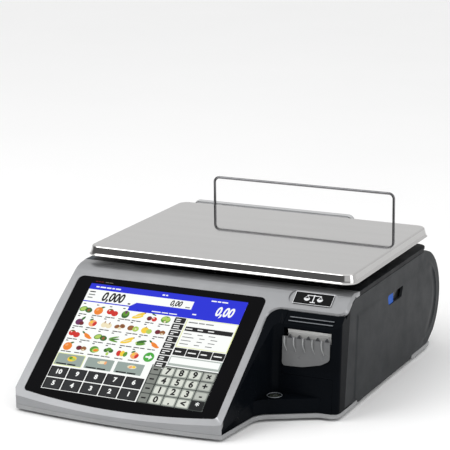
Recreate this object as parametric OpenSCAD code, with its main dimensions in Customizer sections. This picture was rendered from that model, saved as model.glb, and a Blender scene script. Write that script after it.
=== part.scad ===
// Retail price scale: stainless platter on a load cell, sloped touch screen for the seller,
// raked screen for the customer, and a label printer in a cassette that slides out sideways.
// Millimetres. +Z up, +X to the seller's right, +Y from the seller to the customer.
// The origin is under the middle of the scale, on the surface that it stands on.

/* [Body] */
// Width across the side faces
body_w = 428; // [424:1:432]
// Gap under the base, which the feet fill
base_gap = 4; // [3.6:0.1:6]
// Height of the top deck under the platter
deck_top = 163; // [160:0.5:165]
// Wall thickness of the moulded covers
wall = 3; // [2:0.25:4]
// Foremost point of the nose at its corners, measured in front of the origin
nose_y = 283; // [278:1:288]
// How far the middle of the nose bulges forward of its corners
nose_bulge = 9; // [4:1:12]

/* [Seller screen] */
// Tilt of the screen face from the horizontal
face_tilt = 36.6; // [34:0.2:40]
// Width of the black glass
glass_w = 294; // [280:1:298]
// Height of the black glass at its sides
glass_h = 204; // [196:1:206]
// Width of the lit area
lcd_w = 246; // [230:1:250]
// Height of the lit area
lcd_h = 184.5; // [172:0.5:188]

/* [Platter] */
// Width of the flat top
platter_w = 407; // [400:1:410]
// Depth of the flat top
platter_d = 297; // [290:1:300]
// Height of the flat top above the surface under the feet
platter_top = 188; // [186:1:192]
// Depth of the turned-down lip
lip_h = 13.5; // [10:0.5:14]
// How far the lip flares out
lip_out = 5; // [3:0.5:6]
// Height of the guard wire above the platter
guard_h = 44; // [30:1:60]
// Radius of the guard wire
guard_r = 2; // [1.5:0.25:2.5]

/* [Customer screen] */
// Width of the customer screen's frame
disp_w = 272; // [260:1:280]
// Height of the frame along its rake
disp_h = 170; // [160:1:172]
// Rake of the customer screen from the vertical
disp_rake = 15; // [12:1:16]

/* [Label printer] */
// Outer radius of the drum that holds the label roll
drum_r = 75.5; // [74:0.5:76]
// Outer radius of the label roll
label_roll_r = 58; // [30:1:60]
// Radius of the platen roller
platen_r = 8; // [7:0.5:8.5]
// Width of the paper web
paper_w = 65; // [56:1:65]
// Radial clearance of every running fit
run_gap = 0.05; // [0.02:0.01:0.1]

/* [Hidden] */
$fn = 40;
eps = 0.01;

// Colours of the mouldings and metals
silver = [0.66, 0.67, 0.68];
slate = [0.28, 0.30, 0.32];
night = [0.05, 0.06, 0.08];
steel = [0.75, 0.76, 0.77];

// Body edges
side_x = body_w / 2;
rim_top = base_gap + 6;
floor_top = base_gap + wall;
shell_z = rim_top + 0.3;

// Screen face: the centre of the lit area, and the face's own frame
face_x = -53.3;
face_y = -194.7;
face_z = 88.7;
face_left = -side_x - face_x;
face_right = 157.6;
arch_low = 89.3;
// How far back the nose's own wall reaches at its left and its right end
nose_left = -272.6;
nose_right = -280.4;
nose_end_x = 98;
// The face rolls back into the level top from here, and ends where the deck begins
roll_v = 112.7;
roll_r = 36;
back_y = -71.5;
skirt = 6;
joint_gap = 0.3;

// Printer housing: its front face leans back
front_y = -150.3;
front_lean = 4.5;
seam_x = 205;
mouth_x = 130.3;
mouth_z = 58;

// Drum and label roll axis
drum_y = 181;
drum_z = 81;
drum_left = 130;
neck_r = 54;
neck_left = 70;

// Platter
platter_x = 3.5;
platter_y = 64.4;
lip_low = platter_top - lip_h;
sheet = 1.2;

// Load path
cell_z = 95;
cell_h = 30;
spider_z = 166;
arm_h = 7;
pad_reach = [150, 100];
stop_reach = [80, 53];

// Customer screen: the middle of its top edge
disp_x = -57;
disp_y = 246;
disp_z = 186.3;
disp_bezel_t = 12;
disp_case_t = 9;

// Cassette mechanism, all axes along X
plate_x = 203.5;
plate_t = 2.5;
cheek_x = 133.4;
cheek_t = 1.8;
web_x = 136;
web_t = 0.4;
gear_m = 1;
platen_teeth = 26;
idler_teeth = 48;
pinion_teeth = 16;
idler_line = -13.6;
pinion_line = -36;
mesh_gap = 0.06;
platen = [-124.1, 88];
idler = platen + ((platen_teeth + idler_teeth) / 2 * gear_m + mesh_gap) * [cos(idler_line), sin(idler_line)];
motor = idler + ((idler_teeth + pinion_teeth) / 2 * gear_m + mesh_gap) * [cos(pinion_line), sin(pinion_line)];
lever_pin = [-88, 122];
guide_bar = [-72, 27];
spool = [60, 80];
rods = [[-60, 18], [90, 18]];
rod_r = 4;
gear_x = plate_x + plate_t + 0.4;
gear_w = 3.6;

// Feet: centre of each in plan
foot_fl = [-185, -240];
foot_fr = [195, -105];
foot_rl = [-185, 205];
foot_rr = [118, 205];
stud_r = 4;

// ---------- outline and placing helpers ----------

function unit(v) = v / norm(v);
function turned(v, a) = [v.x * cos(a) - v.y * sin(a), v.x * sin(a) + v.y * cos(a)];
function xy(p) = [p[0], p[1]];

// The arc of radius r that rounds the corner b between a and c
function corner(a, b, c, r, n) =
    r <= 0 ? [b] :
    let (
        u = unit(a - b),
        v = unit(c - b),
        half = acos(u * v) / 2,
        centre = b + unit(u + v) * r / sin(half),
        start = b + u * r / tan(half) - centre,
        end = b + v * r / tan(half) - centre,
        sweep = (cross(start, end) > 0 ? 1 : -1) * (180 - 2 * half)
    )
    [for (i = [0:n]) centre + turned(start, sweep * i / n)];

// An outline from corners [x, y, radius]
function outline(p, n = 6) =
    let (k = len(p))
    [for (i = [0:k - 1])
        each corner(xy(p[(i + k - 1) % k]), xy(p[i]), xy(p[(i + 1) % k]), p[i][2], n)];

function arc(c, r, a, b, n) = [for (i = [0:n]) c + r * [cos(a + (b - a) * i / n), sin(a + (b - a) * i / n)]];

// Points of a shallow bow from a to b that bulges by s to the right of a-b
function bow(a, b, s, n = 14) =
    [for (i = [0:n])
        let (t = i / n, d = unit(b - a))
        a + (b - a) * t + [d.y, -d.x] * s * 4 * t * (1 - t)];

// Extrudes a (Y, Z) section from x0 to x1
module along_x(x0, x1) {
    translate([x0, 0, 0]) rotate([90, 0, 90]) linear_extrude(x1 - x0) children();
}

// A rod along X
module rod(x0, x1, p, r) {
    translate([x0, p.x, p.y]) rotate([0, 90, 0]) cylinder(h = x1 - x0, r = r);
}

// A box from its lowest corner to its highest
module block(a, b) {
    translate(a) cube(b - a);
}

// The screen face's frame: x across, y up the slope, z out of the face
module on_face() {
    translate([face_x, face_y, face_z]) rotate([face_tilt, 0, 0]) children();
}

// Section of the screen face from its nose to the level top, drawn in by t
face_up = [cos(face_tilt), sin(face_tilt)];
face_out = [-sin(face_tilt), cos(face_tilt)];
roll_centre = [face_y, face_z] + roll_v * face_up - roll_r * face_out;

function roll_arc(t) = arc(roll_centre, roll_r - t, 90 + face_tilt, 90, 8);

function face_section(t) = concat(
    [[face_y, face_z] - 135 * face_up - t * face_out],
    roll_arc(t),
    [[back_y + 60, deck_top - t], [back_y + 60, -60], [-330, -60]]
);

module under_face(t) {
    along_x(-side_x - 20, side_x + 20) polygon(face_section(t));
}

// Everything above the face, shifted along its normal
module above_face(n) {
    on_face() translate([-400, -300, n]) cube([900, 700, 400]);
}

// The leaning frame of the printer's front face
module leaning() {
    translate([0, front_y, rim_top]) rotate([-front_lean, 0, 0])
        translate([0, -front_y, -rim_top]) children();
}

// The customer screen's frame: x across, y up the rake, z towards the customer
module on_display() {
    translate([disp_x, disp_y, disp_z]) rotate([90 - disp_rake, 0, 180]) children();
}

// A plate with rounded corners in its own frame
module round_plate(x0, y0, x1, y1, r, z0, z1) {
    translate([0, 0, z0]) linear_extrude(z1 - z0)
        polygon(outline([[x0, y0, r], [x1, y0, r], [x1, y1, r], [x0, y1, r]]));
}

// ---------- outer covers ----------

// Plan of the whole base, drawn in by g
function base_plan(g = 0) = concat(
    [[-side_x + g, 207], [-side_x + g, -nose_y + 10]],
    bow([-side_x + 6 + g, -nose_y + g], [nose_end_x - g, -nose_y + g], nose_bulge),
    outline([
        [nose_end_x - g, -nose_y + g, 0],
        [104.5 - g, -nose_y + 2 + g, 1],
        [114 - g, -192 + g, 30],
        [188, -150.5 + g, 24],
        [side_x - g, -150.3 + g, 15],
        [side_x - g, 207, 0],
        [0, 207, 0],
    ])
);

// Side view of the silver part of the base on the left
function left_base_side() = outline([
    [-242, base_gap, 0],
    [-150, 70, 30],
    [-110, 80, 60],
    [213, 80, 0],
    [232, 33, 0],
    [208, base_gap, 0],
]);

module foot_boss(p) {
    translate([p.x, p.y, base_gap]) cylinder(h = 10, r = 8);
}

module foot_bore(p) {
    translate([p.x, p.y, base_gap - 1]) cylinder(h = 12, r = stud_r + run_gap);
}

module base_tray() {
    color(silver) difference() {
        union() {
            translate([0, 0, base_gap]) linear_extrude(wall) polygon(base_plan());
            translate([0, 0, base_gap]) linear_extrude(rim_top - base_gap) difference() {
                polygon(base_plan());
                polygon(base_plan(wall));
            }
            along_x(-side_x, -side_x + wall) polygon(left_base_side());
            along_x(-side_x, drum_left - 0.4) polygon([
                [205, base_gap], [208, base_gap], [232, 33], [228, 33], [203, floor_top],
            ]);
            along_x(side_x - wall, side_x) polygon(outline([
                [137, base_gap, 0], [207, base_gap, 0], [211, rim_top, 0], [142, rim_top, 3],
            ]));
            for (p = [foot_fl, foot_fr, foot_rl, foot_rr]) foot_boss(p);
        }
        // The side panel hangs down in front of the rim here
        block([side_x - wall - 0.8, -80, base_gap - 1], [side_x + 1, 136, 30]);
        for (p = [foot_fl, foot_fr, foot_rl, foot_rr]) foot_bore(p);
        // Air slots in the floor
        for (i = [0:9]) block([-150 + i * 16, -150, base_gap - 1], [-144 + i * 16, -90, 9]);
    }
}

// Side view of the dark cover on the left, above the silver base
function left_cover_side() = outline([
    [nose_left + 0.2, shell_z, 0],
    [nose_left + 0.2, 30, 0],
    [-110, deck_top, 0],
    [213, deck_top, 4],
    [213, 80.4, 0],
    [-110, 80.4, 60],
    [-150.4, 70.3, 30],
    [-234, shell_z, 0],
]);

module upper_housing() {
    color(slate) difference() {
        union() {
            along_x(-side_x, -side_x + wall) polygon(left_cover_side());
            // Deck
            translate([0, 0, deck_top - wall]) linear_extrude(wall) polygon(outline([
                [-side_x, back_y + joint_gap, 0], [side_x, back_y + joint_gap, 0],
                [side_x, 200, 18], [-side_x, 213, 3],
            ]));
            // Down-turned edges of the deck
            block([side_x - wall, back_y + joint_gap, 157.2], [side_x, 182, deck_top]);
            block([-side_x, 210, 157], [neck_left, 213, deck_top]);
            // Return of the left wall behind the customer screen
            along_x(-side_x, -196) polygon([[210, 80.4], [213, 80.4], [213, 160], [210, 160]]);
        }
        // Room for the bezel, which overlaps the cover's front
        difference() {
            block([-side_x - 1, -300, 0], [side_x + 1, back_y + joint_gap, 200]);
            under_face(skirt + joint_gap);
        }
        // Opening for the load cell's post, and holes for the overload stops
        block([platter_x - 28, -22, 150], [platter_x + 28, 36, 170]);
        for (i = [-1, 1]) for (j = [-1, 1])
            translate([platter_x + i * stop_reach.x, platter_y + j * stop_reach.y, 150])
                cylinder(h = 20, r = 8);
    }
}

// Outline of the screen bezel and its arch over the printer, in the face's frame
function bezel_outline(g = 0) = outline([
    [face_left + g, -135, 0],
    [face_right - g, -135, 0],
    [face_right - g, arch_low + g, 18 + g],
    [side_x - face_x - g, arch_low + g, 12 - g],
    [side_x - face_x - g, 190, 0],
    [face_left + g, 190, 0],
], 8);

// Outline of the glass, with its bowed lower edge
function glass_outline(g = 0) = concat(
    bow([-glass_w / 2 + 8 - g, -100.5 - g], [glass_w / 2 - 8 + g, -100.5 - g], 10.5),
    outline([
        [glass_w / 2 + g, -100.5 - g, 7],
        [glass_w / 2 + g, glass_h - 100.5 + g, 9],
        [-glass_w / 2 - g, glass_h - 100.5 + g, 9],
        [-glass_w / 2 - g, -100.5 - g, 7],
    ])
);

badge_centre = [face_x + 213, 112];
badge_floor = 2.2;

// Walls and skin of the bezel before it is trimmed
module bezel_walls() {
    intersection() {
        difference() {
            on_face() translate([0, 0, -80]) linear_extrude(80) polygon(bezel_outline());
            // Hollow behind the skin
            intersection() {
                on_face() translate([0, 0, -81]) linear_extrude(81) polygon(bezel_outline(wall));
                under_face(wall);
            }
        }
        under_face(0);
        block([-side_x, -300, shell_z], [side_x, back_y, deck_top]);
        // The skirt is narrow, except at the nose
        union() {
            difference() {
                under_face(-1);
                under_face(skirt);
            }
            block([-side_x, -310, 0], [nose_end_x, nose_left, 60]);
            block([nose_end_x, -310, 0], [104.4, nose_right, 60]);
        }
    }
}

// Front wall of the nose
module nose_wall() {
    intersection() {
        translate([0, 0, shell_z]) linear_extrude(40) difference() {
            polygon(base_plan());
            polygon(base_plan(wall));
            translate([-300, nose_left]) square([600, 600]);
            translate([nose_end_x, nose_right]) square([300, 300]);
            translate([face_x + face_right, -400]) square([300, 300]);
        }
        under_face(0);
    }
}

module front_bezel() {
    color(silver) difference() {
        intersection() {
            union() {
                bezel_walls();
                nose_wall();
            }
            // Nothing stands outside the plan of the base
            translate([0, 0, shell_z]) linear_extrude(200) polygon(base_plan());
        }
        on_face() translate([0, 0, -8]) linear_extrude(10) polygon(glass_outline(0.4));
        // Recess for the badge
        on_face() translate([badge_centre.x - face_x, badge_centre.y, -badge_floor])
            round_plate(-36, -14, 36, 14, 13.9, 0, 9);
    }
}

module front_badge() {
    color(night) on_face() translate([badge_centre.x - face_x, badge_centre.y, -badge_floor])
        round_plate(-28.5, -10.5, 28.5, 10.5, 2, 0, 1.3);
}

module touch_glass() {
    color([0.02, 0.02, 0.03]) on_face() translate([0, 0, -2.6]) linear_extrude(2.2)
        polygon(glass_outline());
}

module lcd_module() {
    color([0.3, 0.4, 0.7]) on_face() {
        round_plate(-lcd_w / 2 - 8, -lcd_h / 2 - 6, lcd_w / 2 + 8, lcd_h / 2 + 6, 2, -11, -2.6);
        for (i = [-1, 1]) translate([i * 60, -70, -14]) cylinder(h = 3.1, r = 5);
    }
}

module lcd_bracket() {
    color(steel) on_face() difference() {
        union() {
            round_plate(-143, -99, 143, 99, 6, -15.6, -14);
            for (i = [-1, 1]) for (j = [-1, 1])
                translate([i * 139, j * 94, -14]) cylinder(h = 11.4, r = 4);
            for (i = [-1, 1]) for (j = [-1, 1])
                translate([i * 92, j * 58, -22]) cylinder(h = 7, r = 3.5);
        }
        round_plate(-60, -35, 60, 35, 8, -17, -12);
    }
}

module main_board() {
    color([0.1, 0.4, 0.2]) on_face() {
        round_plate(-100, -66, 100, 66, 3, -23.6, -22);
        for (i = [-1, 1]) block([i * 70 - 12, -50, -26], [i * 70 + 12, -26, -23.6]);
        for (i = [0:3]) block([-80 + i * 40, 46, -34], [-60 + i * 40, 60, -23.6]);
        block([-18, -15, -26], [18, 21, -23.6]);
    }
}

module heatsink() {
    color([0.6, 0.62, 0.65]) on_face() {
        block([-24, -21, -29], [24, 27, -26]);
        for (i = [0:7]) block([-24 + i * 6.6, -21, -44], [-22.2 + i * 6.6, 27, -28.9]);
    }
}

// ---------- printer bay, level and drum ----------

// Plan of the outer face of the black wall between the screen bezel and the printer's front
function bay_edge(g = 0) = [
    [104.3 - g, -279.8, 0],
    [112.3 - g, -192 + g, 60],
    [118.5 - g, front_y + g, 10],
];

ledge_top = 31;
level_at = [128.8, -166];

module printer_bay() {
    color(night) difference() {
        union() {
            // Wall, column and front face, all with the same lean
            leaning() translate([0, 0, -20]) linear_extrude(200) polygon(concat(
                outline(concat(bay_edge(), [[seam_x, front_y, 0], [seam_x, front_y + wall, 0]],
                    [for (i = [2:-1:0]) bay_edge(wall)[i]]))
            ));
            bay_cap();
            // Ledge that carries the level
            difference() {
                ledge(shell_z, ledge_top, 2);
                ledge(shell_z - 1, ledge_top - wall, 5);
            }
        }
        block([0, -400, -50], [300, 0, shell_z]);
        above_face(-1);
        // Clear of the bezel and its skirt
        on_face() translate([0, 0, -skirt - joint_gap]) linear_extrude(30)
            polygon(bezel_outline(-joint_gap));
        // Mouth, open towards the side so that the cassette can leave
        block([mouth_x, -170, mouth_z], [230, -100, 160]);
        translate([level_at.x, level_at.y, 20]) cylinder(h = 20, r = 9.5);
    }
}

// Closes the top of the bay between the wall and the bezel, in the plane of the screen face
module bay_cap() {
    intersection() {
        on_face() block([90, -150, -4], [230, arch_low + 4, -1]);
        leaning() translate([0, 0, -20]) linear_extrude(200) polygon(
            outline(concat(bay_edge(0.2), [[mouth_x, front_y + 0.2, 0], [mouth_x, -90, 0], [90, -90, 0],
                [90, -279.8, 0]]))
        );
    }
}

module ledge(z0, z1, g) {
    translate([0, 0, z0]) linear_extrude(z1 - z0) intersection() {
        polygon(base_plan(g));
        translate([109, -260]) square([84, 111]);
    }
}

module level_vial() {
    color(night) translate([level_at.x, level_at.y, 0]) difference() {
        union() {
            translate([0, 0, 22]) cylinder(h = 9, r = 9.4);
            translate([0, 0, ledge_top]) cylinder(h = 1.4, r = 11);
        }
        translate([0, 0, 26]) cylinder(h = 10, r = 7.5);
    }
}

module level_lens() {
    color([0.7, 0.85, 0.3, 0.8]) translate([level_at.x, level_at.y, 0]) difference() {
        translate([0, 0, 26]) cylinder(h = 6, r = 7.4);
        translate([0, 0, 29.4]) cylinder(h = 1.6, r = 2);
    }
}

// Top front corner of the side panel, which follows the bezel's skirt
function panel_roll(g) = [for (p = roll_arc(skirt + 0.8 + g)) [p.x, p.y, 0]];

// Side view of the printer's side: lean front, flat top, round back and a chamfer to the base
function side_profile(g = 0) = concat(
    outline([
        [207 - g, rim_top + 1, 0],
        [136, rim_top + 1, 0],
        [131, base_gap + 2, 2],
        [-76, base_gap + 2, 2],
        [-81, rim_top + 1, 0],
        [-125 + g, rim_top + 1, 2],
        [-104.8 + g, 145.4 - g, 12],
        panel_roll(g)[0],
    ]),
    [for (i = [1:8]) xy(panel_roll(g)[i])],
    arc([drum_y, drum_z], drum_r - g, 90, -49.4, 20)
);

// A point of the drum's section at radius r and angle a
function on_drum(r, a) = [drum_y, drum_z] + r * [cos(a), sin(a)];

// Round shell of the drum, from straight above its axis to where it runs down to the base
module drum_shell(x0, x1) {
    intersection() {
        difference() {
            rod(x0, x1, [drum_y, drum_z], drum_r);
            rod(x0 - 1, x1 + 1, [drum_y, drum_z], drum_r - wall);
        }
        along_x(x0 - 2, x1 + 2) polygon([
            [drum_y, drum_z], [drum_y, 200], [400, 200], on_drum(200, drum_tail),
        ]);
    }
    along_x(x0, x1) polygon([
        on_drum(drum_r, drum_tail), [208, shell_z], [208 - wall, shell_z],
        on_drum(drum_r - wall, drum_tail), on_drum(drum_r - wall / 2, drum_tail + 4),
    ]);
}

drum_tail = -49.4;
// Tiny steps that set the bell off from the drum and from the neck
bell_step = 0.6;
neck_step = 0.3;
bell_r = drum_r + 1 - neck_r - neck_step;

module drum_housing() {
    color(night) difference() {
        union() {
            drum_shell(drum_left, side_x - 3.8);
            drum_bell();
        }
        // Clear of the top deck's edge
        block([0, 100, deck_top - wall - 0.3], [300, 300, 200]);
    }
}

// Bell that narrows the drum towards the customer screen, and the neck that it ends in
module drum_bell() {
    neck_end = drum_left - neck_left;
    intersection() {
        translate([drum_left, drum_y, drum_z]) rotate([0, -90, 0]) rotate_extrude() difference() {
            union() {
                translate([0, -0.5]) square([drum_r - bell_step, bell_r + 0.5]);
                square([neck_r, neck_end]);
            }
            translate([0, -1]) square([neck_r - wall, neck_end - wall + 1]);
            translate([drum_r + 1, bell_r]) circle(r = bell_r);
        }
        block([0, drum_y, 33.4], [drum_left + 1, 400, 200]);
    }
}

module drum_badge() {
    color([0.08, 0.09, 0.11]) along_x(136, 209) polygon(concat(
        arc([drum_y, drum_z], drum_r + 1, 18.5, 49, 16),
        arc([drum_y, drum_z], drum_r + 0.06, 49, 18.5, 16)
    ));
}

inlet_at = [-160, 62];
switch_at = [-120, 62];
port_row_z = 52;

module rear_panel() {
    color(night) difference() {
        union() {
            block([-side_x + wall, 205, 33.4], [neck_left - 0.2, 208, 156.8]);
            // Louvres that let warm air out
            for (i = [0:5]) block([-88, 208, 100 + i * 8], [-12, 209.4, 103 + i * 8]);
        }
        block([inlet_at.x - 14.2, 200, inlet_at.y - 10.2], [inlet_at.x + 14.2, 212, inlet_at.y + 10.2]);
        block([switch_at.x - 7.2, 200, switch_at.y - 10.2], [switch_at.x + 7.2, 212, switch_at.y + 10.2]);
        for (i = [0:3]) block([-90 + i * 24 - 8.2, 200, port_row_z - 0.2],
                              [-90 + i * 24 + 8.2, 212, port_row_z + 14.2]);
    }
}

// ---------- chassis and load path ----------

module chassis_plate() {
    color(steel) difference() {
        union() {
            block([-180, -200, floor_top], [96, 185, floor_top + 2]);
            // Wall that separates the printer bay from the electronics
            block([126, -116, floor_top], [128, 100, 150]);
            block([96, -116, floor_top], [128, 100, floor_top + 2]);
        }
        for (p = rods) rod(120, 130, p, rod_r + 1.5);
        above_face(-14);
        for (p = [foot_fl, foot_rl]) translate([p.x, p.y, 0]) cylinder(h = 20, r = 12);
    }
}

module load_cell_pedestal() {
    color([0.45, 0.46, 0.48]) union() {
        block([platter_x - 30, 98, floor_top + 2], [platter_x + 30, 145, 15]);
        block([platter_x - 20, 104, 14], [platter_x + 20, 139, cell_z]);
    }
}

module load_cell() {
    color([0.8, 0.81, 0.83]) difference() {
        block([platter_x - 20, -11, cell_z], [platter_x + 20, 139, cell_z + cell_h]);
        for (y = [52, 76]) rod(platter_x - 21, platter_x + 21, [y, cell_z + cell_h / 2], 10);
        block([platter_x - 21, 52, cell_z + 10], [platter_x + 21, 76, cell_z + cell_h - 10]);
        for (i = [-1, 1]) {
            translate([platter_x + i * 10, 121.5, cell_z - 1]) cylinder(h = cell_h + 2, r = 3.1);
            translate([platter_x + i * 10, 6.5, cell_z - 1]) cylinder(h = cell_h + 2, r = 3.1);
        }
    }
}

module load_cell_bolts() {
    color([0.2, 0.2, 0.22]) for (i = [-1, 1]) {
        translate([platter_x + i * 10, 121.5, cell_z + 0.01]) cylinder(h = cell_h, r = 3);
        translate([platter_x + i * 10, 121.5, cell_z + cell_h]) cylinder(h = 6, r = 5);
        translate([platter_x + i * 10, 6.5, cell_z]) cylinder(h = cell_h - 0.01, r = 3);
        translate([platter_x + i * 10, 6.5, cell_z - 6]) cylinder(h = 6, r = 5);
    }
}

module spider_post() {
    color([0.45, 0.46, 0.48]) block([platter_x - 19, -10, cell_z + cell_h], [platter_x + 19, 24, spider_z]);
}

module platter_spider() {
    color(steel) union() {
        translate([platter_x, 0, spider_z])
            round_plate(-44, -14, 44, 118, 8, 0, arm_h);
        for (i = [-1, 1]) for (j = [-1, 1])
            translate([platter_x, platter_y, spider_z]) rotate(atan2(j * pad_reach.y, i * pad_reach.x))
                block([20, -8, 0], [norm(pad_reach) + 9, 8, arm_h]);
    }
}

module platter_pads() {
    color([0.06, 0.06, 0.06]) for (i = [-1, 1]) for (j = [-1, 1])
        translate([platter_x + i * pad_reach.x, platter_y + j * pad_reach.y, spider_z + arm_h])
            cylinder(h = platter_top - sheet - spider_z - arm_h, r = 7);
}

module overload_stops() {
    color([0.7, 0.6, 0.3]) for (i = [-1, 1]) for (j = [-1, 1])
        translate([platter_x + i * stop_reach.x, platter_y + j * stop_reach.y, 0]) {
            translate([0, 0, floor_top + 2]) cylinder(h = 146, r = 4);
            translate([0, 0, floor_top + 148]) cylinder(h = spider_z - floor_top - 149.5, r = 5.5);
        }
}

// ---------- electrics ----------

module power_supply() {
    color([0.55, 0.57, 0.3]) union() {
        difference() {
            block([-190, 30, floor_top + 2], [-120, 180, 48]);
            block([-188, 28, floor_top + 4], [-122, 182, 50]);
        }
        block([-187, 34, 13], [-123, 176, 15]);
        for (y = [50, 74]) translate([-170, y, 15]) cylinder(h = 26, r = 9);
        block([-165, 95, 15], [-130, 130, 40]);
        block([-182, 142, 15], [-130, 170, 30]);
        for (y = [60, 150]) block([-156, y - 3, 9], [-152, y + 3, 14]);
    }
}

module power_inlet() {
    color([0.07, 0.07, 0.07]) difference() {
        union() {
            block([inlet_at.x - 14, 186, inlet_at.y - 10], [inlet_at.x + 14, 208, inlet_at.y + 10]);
            block([inlet_at.x - 18, 208, inlet_at.y - 13], [inlet_at.x + 18, 210.5, inlet_at.y + 13]);
        }
        block([inlet_at.x - 12, 193, inlet_at.y - 8], [inlet_at.x + 12, 212, inlet_at.y + 8]);
    }
    color(steel) for (i = [-1, 0, 1])
        block([inlet_at.x + i * 7 - 1, 192, inlet_at.y - 2 + (i == 0 ? 3 : 0)],
              [inlet_at.x + i * 7 + 1, 206, inlet_at.y + 2 + (i == 0 ? 3 : 0)]);
}

switch_tilt = 8;

module power_switch() {
    color([0.04, 0.04, 0.04]) translate([switch_at.x, 205, switch_at.y]) rotate([switch_tilt, 0, 0])
        difference() {
            union() {
                block([-6.4, -2, -8.6], [6.4, 4, 8.6]);
                rod(-6.4, 6.4, [0, 0], 3);
            }
            translate([0, 24, 0]) rotate([0, 90, 0]) cylinder(h = 14, r = 21, center = true);
        }
}

module port_sockets() {
    color([0.62, 0.63, 0.64]) for (i = [0:3]) translate([-90 + i * 24, 0, port_row_z]) difference() {
        block([-8, 190, 0], [8, 208.6, 14]);
        block([-6.2, 194, 2], [6.2, 212, 12]);
    }
}

module housing_screws() {
    color([0.3, 0.3, 0.31]) for (x = [-190, -60, 55]) for (z = [42, 148])
        translate([x, 208, z]) rotate([-90, 0, 0]) difference() {
            cylinder(h = 2, r = 3.5);
            translate([0, 0, 1]) cylinder(h = 2, r = 1.6, $fn = 6);
        }
}

module rating_plate() {
    color([0.75, 0.78, 0.78]) block([-side_x - 0.4, 64, 8], [-side_x, 164, 34]);
}

// ---------- customer screen ----------

module display_bezel() {
    color(silver) on_display() difference() {
        union() {
            round_plate(-disp_w / 2, -disp_h, disp_w / 2, 0, 10, -disp_bezel_t + 3, 0);
            round_plate(-disp_w / 2 + 2, -disp_h + 2, disp_w / 2 - 2, -2, 9, -disp_bezel_t, -2);
        }
        round_plate(-108, -154.4, 111.4, -14.6, 3, -20, 1);
        round_plate(-disp_w / 2 + 5, -disp_h + 5, disp_w / 2 - 5, -5, 8, -20, -3);
        for (i = [-1, 1]) translate([i * 123.5, -104, -5]) cylinder(h = 10, r = 7.6);
    }
}

module display_glass() {
    color([0.05, 0.04, 0.04]) on_display() round_plate(-107.6, -154, 111, -15, 2, -2.4, -0.8);
}

module display_lcd() {
    color([0.8, 0.6, 0.2]) on_display() round_plate(-98, -143, 98, -19, 2, -9, -2.5);
}

module display_caps() {
    color([0.03, 0.03, 0.04]) on_display() for (i = [-1, 1]) translate([i * 123.5, -104, -3])
        difference() {
            cylinder(h = 3.4, r = 7.5);
            translate([0, 0, 2.6]) cylinder(h = 2, r = 5);
        }
}

module display_case() {
    color(night) on_display() difference() {
        round_plate(-disp_w / 2 + 4, -disp_h + 4, disp_w / 2 - 4, -4, 9,
                    -disp_bezel_t - disp_case_t, -disp_bezel_t);
        round_plate(-disp_w / 2 + 7, -disp_h + 7, disp_w / 2 - 7, -7, 8,
                    -disp_bezel_t - disp_case_t + 2, 1);
    }
}

module display_bracket() {
    color(night) difference() {
        union() {
            for (x = [-110, 10]) block([x - 9, 208, 74], [x + 9, 262, 134]);
            block([-110, 214, 96], [10, 232, 112]);
        }
        // The display's case fits flat against the slanted ends
        on_display() translate([-300, -400, -disp_bezel_t - disp_case_t]) cube([600, 800, 200]);
        // Cable duct
        for (x = [-110, 10]) block([x - 6, 207, 100], [x + 6, 300, 108]);
    }
}

// ---------- platter ----------

function platter_plan(g) = outline([
    [platter_x - platter_w / 2 - g, platter_y - platter_d / 2 - g, 14 + g],
    [platter_x + platter_w / 2 + g, platter_y - platter_d / 2 - g, 14 + g],
    [platter_x + platter_w / 2 + g, platter_y + platter_d / 2 + g, 14 + g],
    [platter_x - platter_w / 2 - g, platter_y + platter_d / 2 + g, 14 + g],
], 8);

module platter_slice(g, z) {
    translate([0, 0, z - eps]) linear_extrude(eps) polygon(platter_plan(g));
}

// The platter's outer form, drawn in by t and lowered by t
module platter_form(t) {
    hull() {
        platter_slice(-2.5 - t, platter_top - t);
        platter_slice(-t, platter_top - 1.2 - t);
        platter_slice(1.2 - t, platter_top - 3.6 - t);
    }
    hull() {
        platter_slice(1.2 - t, platter_top - 3.6 - t);
        platter_slice(lip_out - t, lip_low + (t > 0 ? -1 : eps));
    }
}

module platter() {
    color([0.8, 0.8, 0.79]) difference() {
        platter_form(0);
        platter_form(sheet);
    }
}

guard_x = [-146.5, 151.5];
guard_y = platter_y + platter_d / 2 + lip_out + guard_r + 0.6;
guard_bend = 8;
hook_bend = 3.5;
hook_z = lip_low - guard_r - 0.3;

// A quarter bend of the wire; c is the bend's centre, and a its rotation
module wire_bend(c, a, bend) {
    translate(c) rotate(a) rotate_extrude(angle = 90, $fn = 32)
        translate([bend, 0]) circle(r = guard_r, $fn = 20);
}

module guard_wire() {
    top = platter_top + guard_h - guard_r;
    color([0.7, 0.7, 0.7]) {
        translate([guard_x[0] + guard_bend, guard_y, top]) rotate([0, 90, 0])
            cylinder(h = guard_x[1] - guard_x[0] - 2 * guard_bend, r = guard_r, $fn = 20);
        wire_bend([guard_x[0] + guard_bend, guard_y, top - guard_bend], [90, -90, 0], guard_bend);
        wire_bend([guard_x[1] - guard_bend, guard_y, top - guard_bend], [90, 0, 0], guard_bend);
        for (x = guard_x) {
            translate([x, guard_y, hook_z + hook_bend])
                cylinder(h = top - guard_bend - hook_z - hook_bend, r = guard_r, $fn = 20);
            wire_bend([x, guard_y - hook_bend, hook_z + hook_bend], [0, 90, 0], hook_bend);
            translate([x, guard_y - hook_bend, hook_z]) rotate([90, 0, 0])
                cylinder(h = 7, r = guard_r, $fn = 20);
        }
    }
}

// ---------- label cassette ----------

window_at = [39.5, 90, 112.5, 127.5];
button_end = 59;

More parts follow.
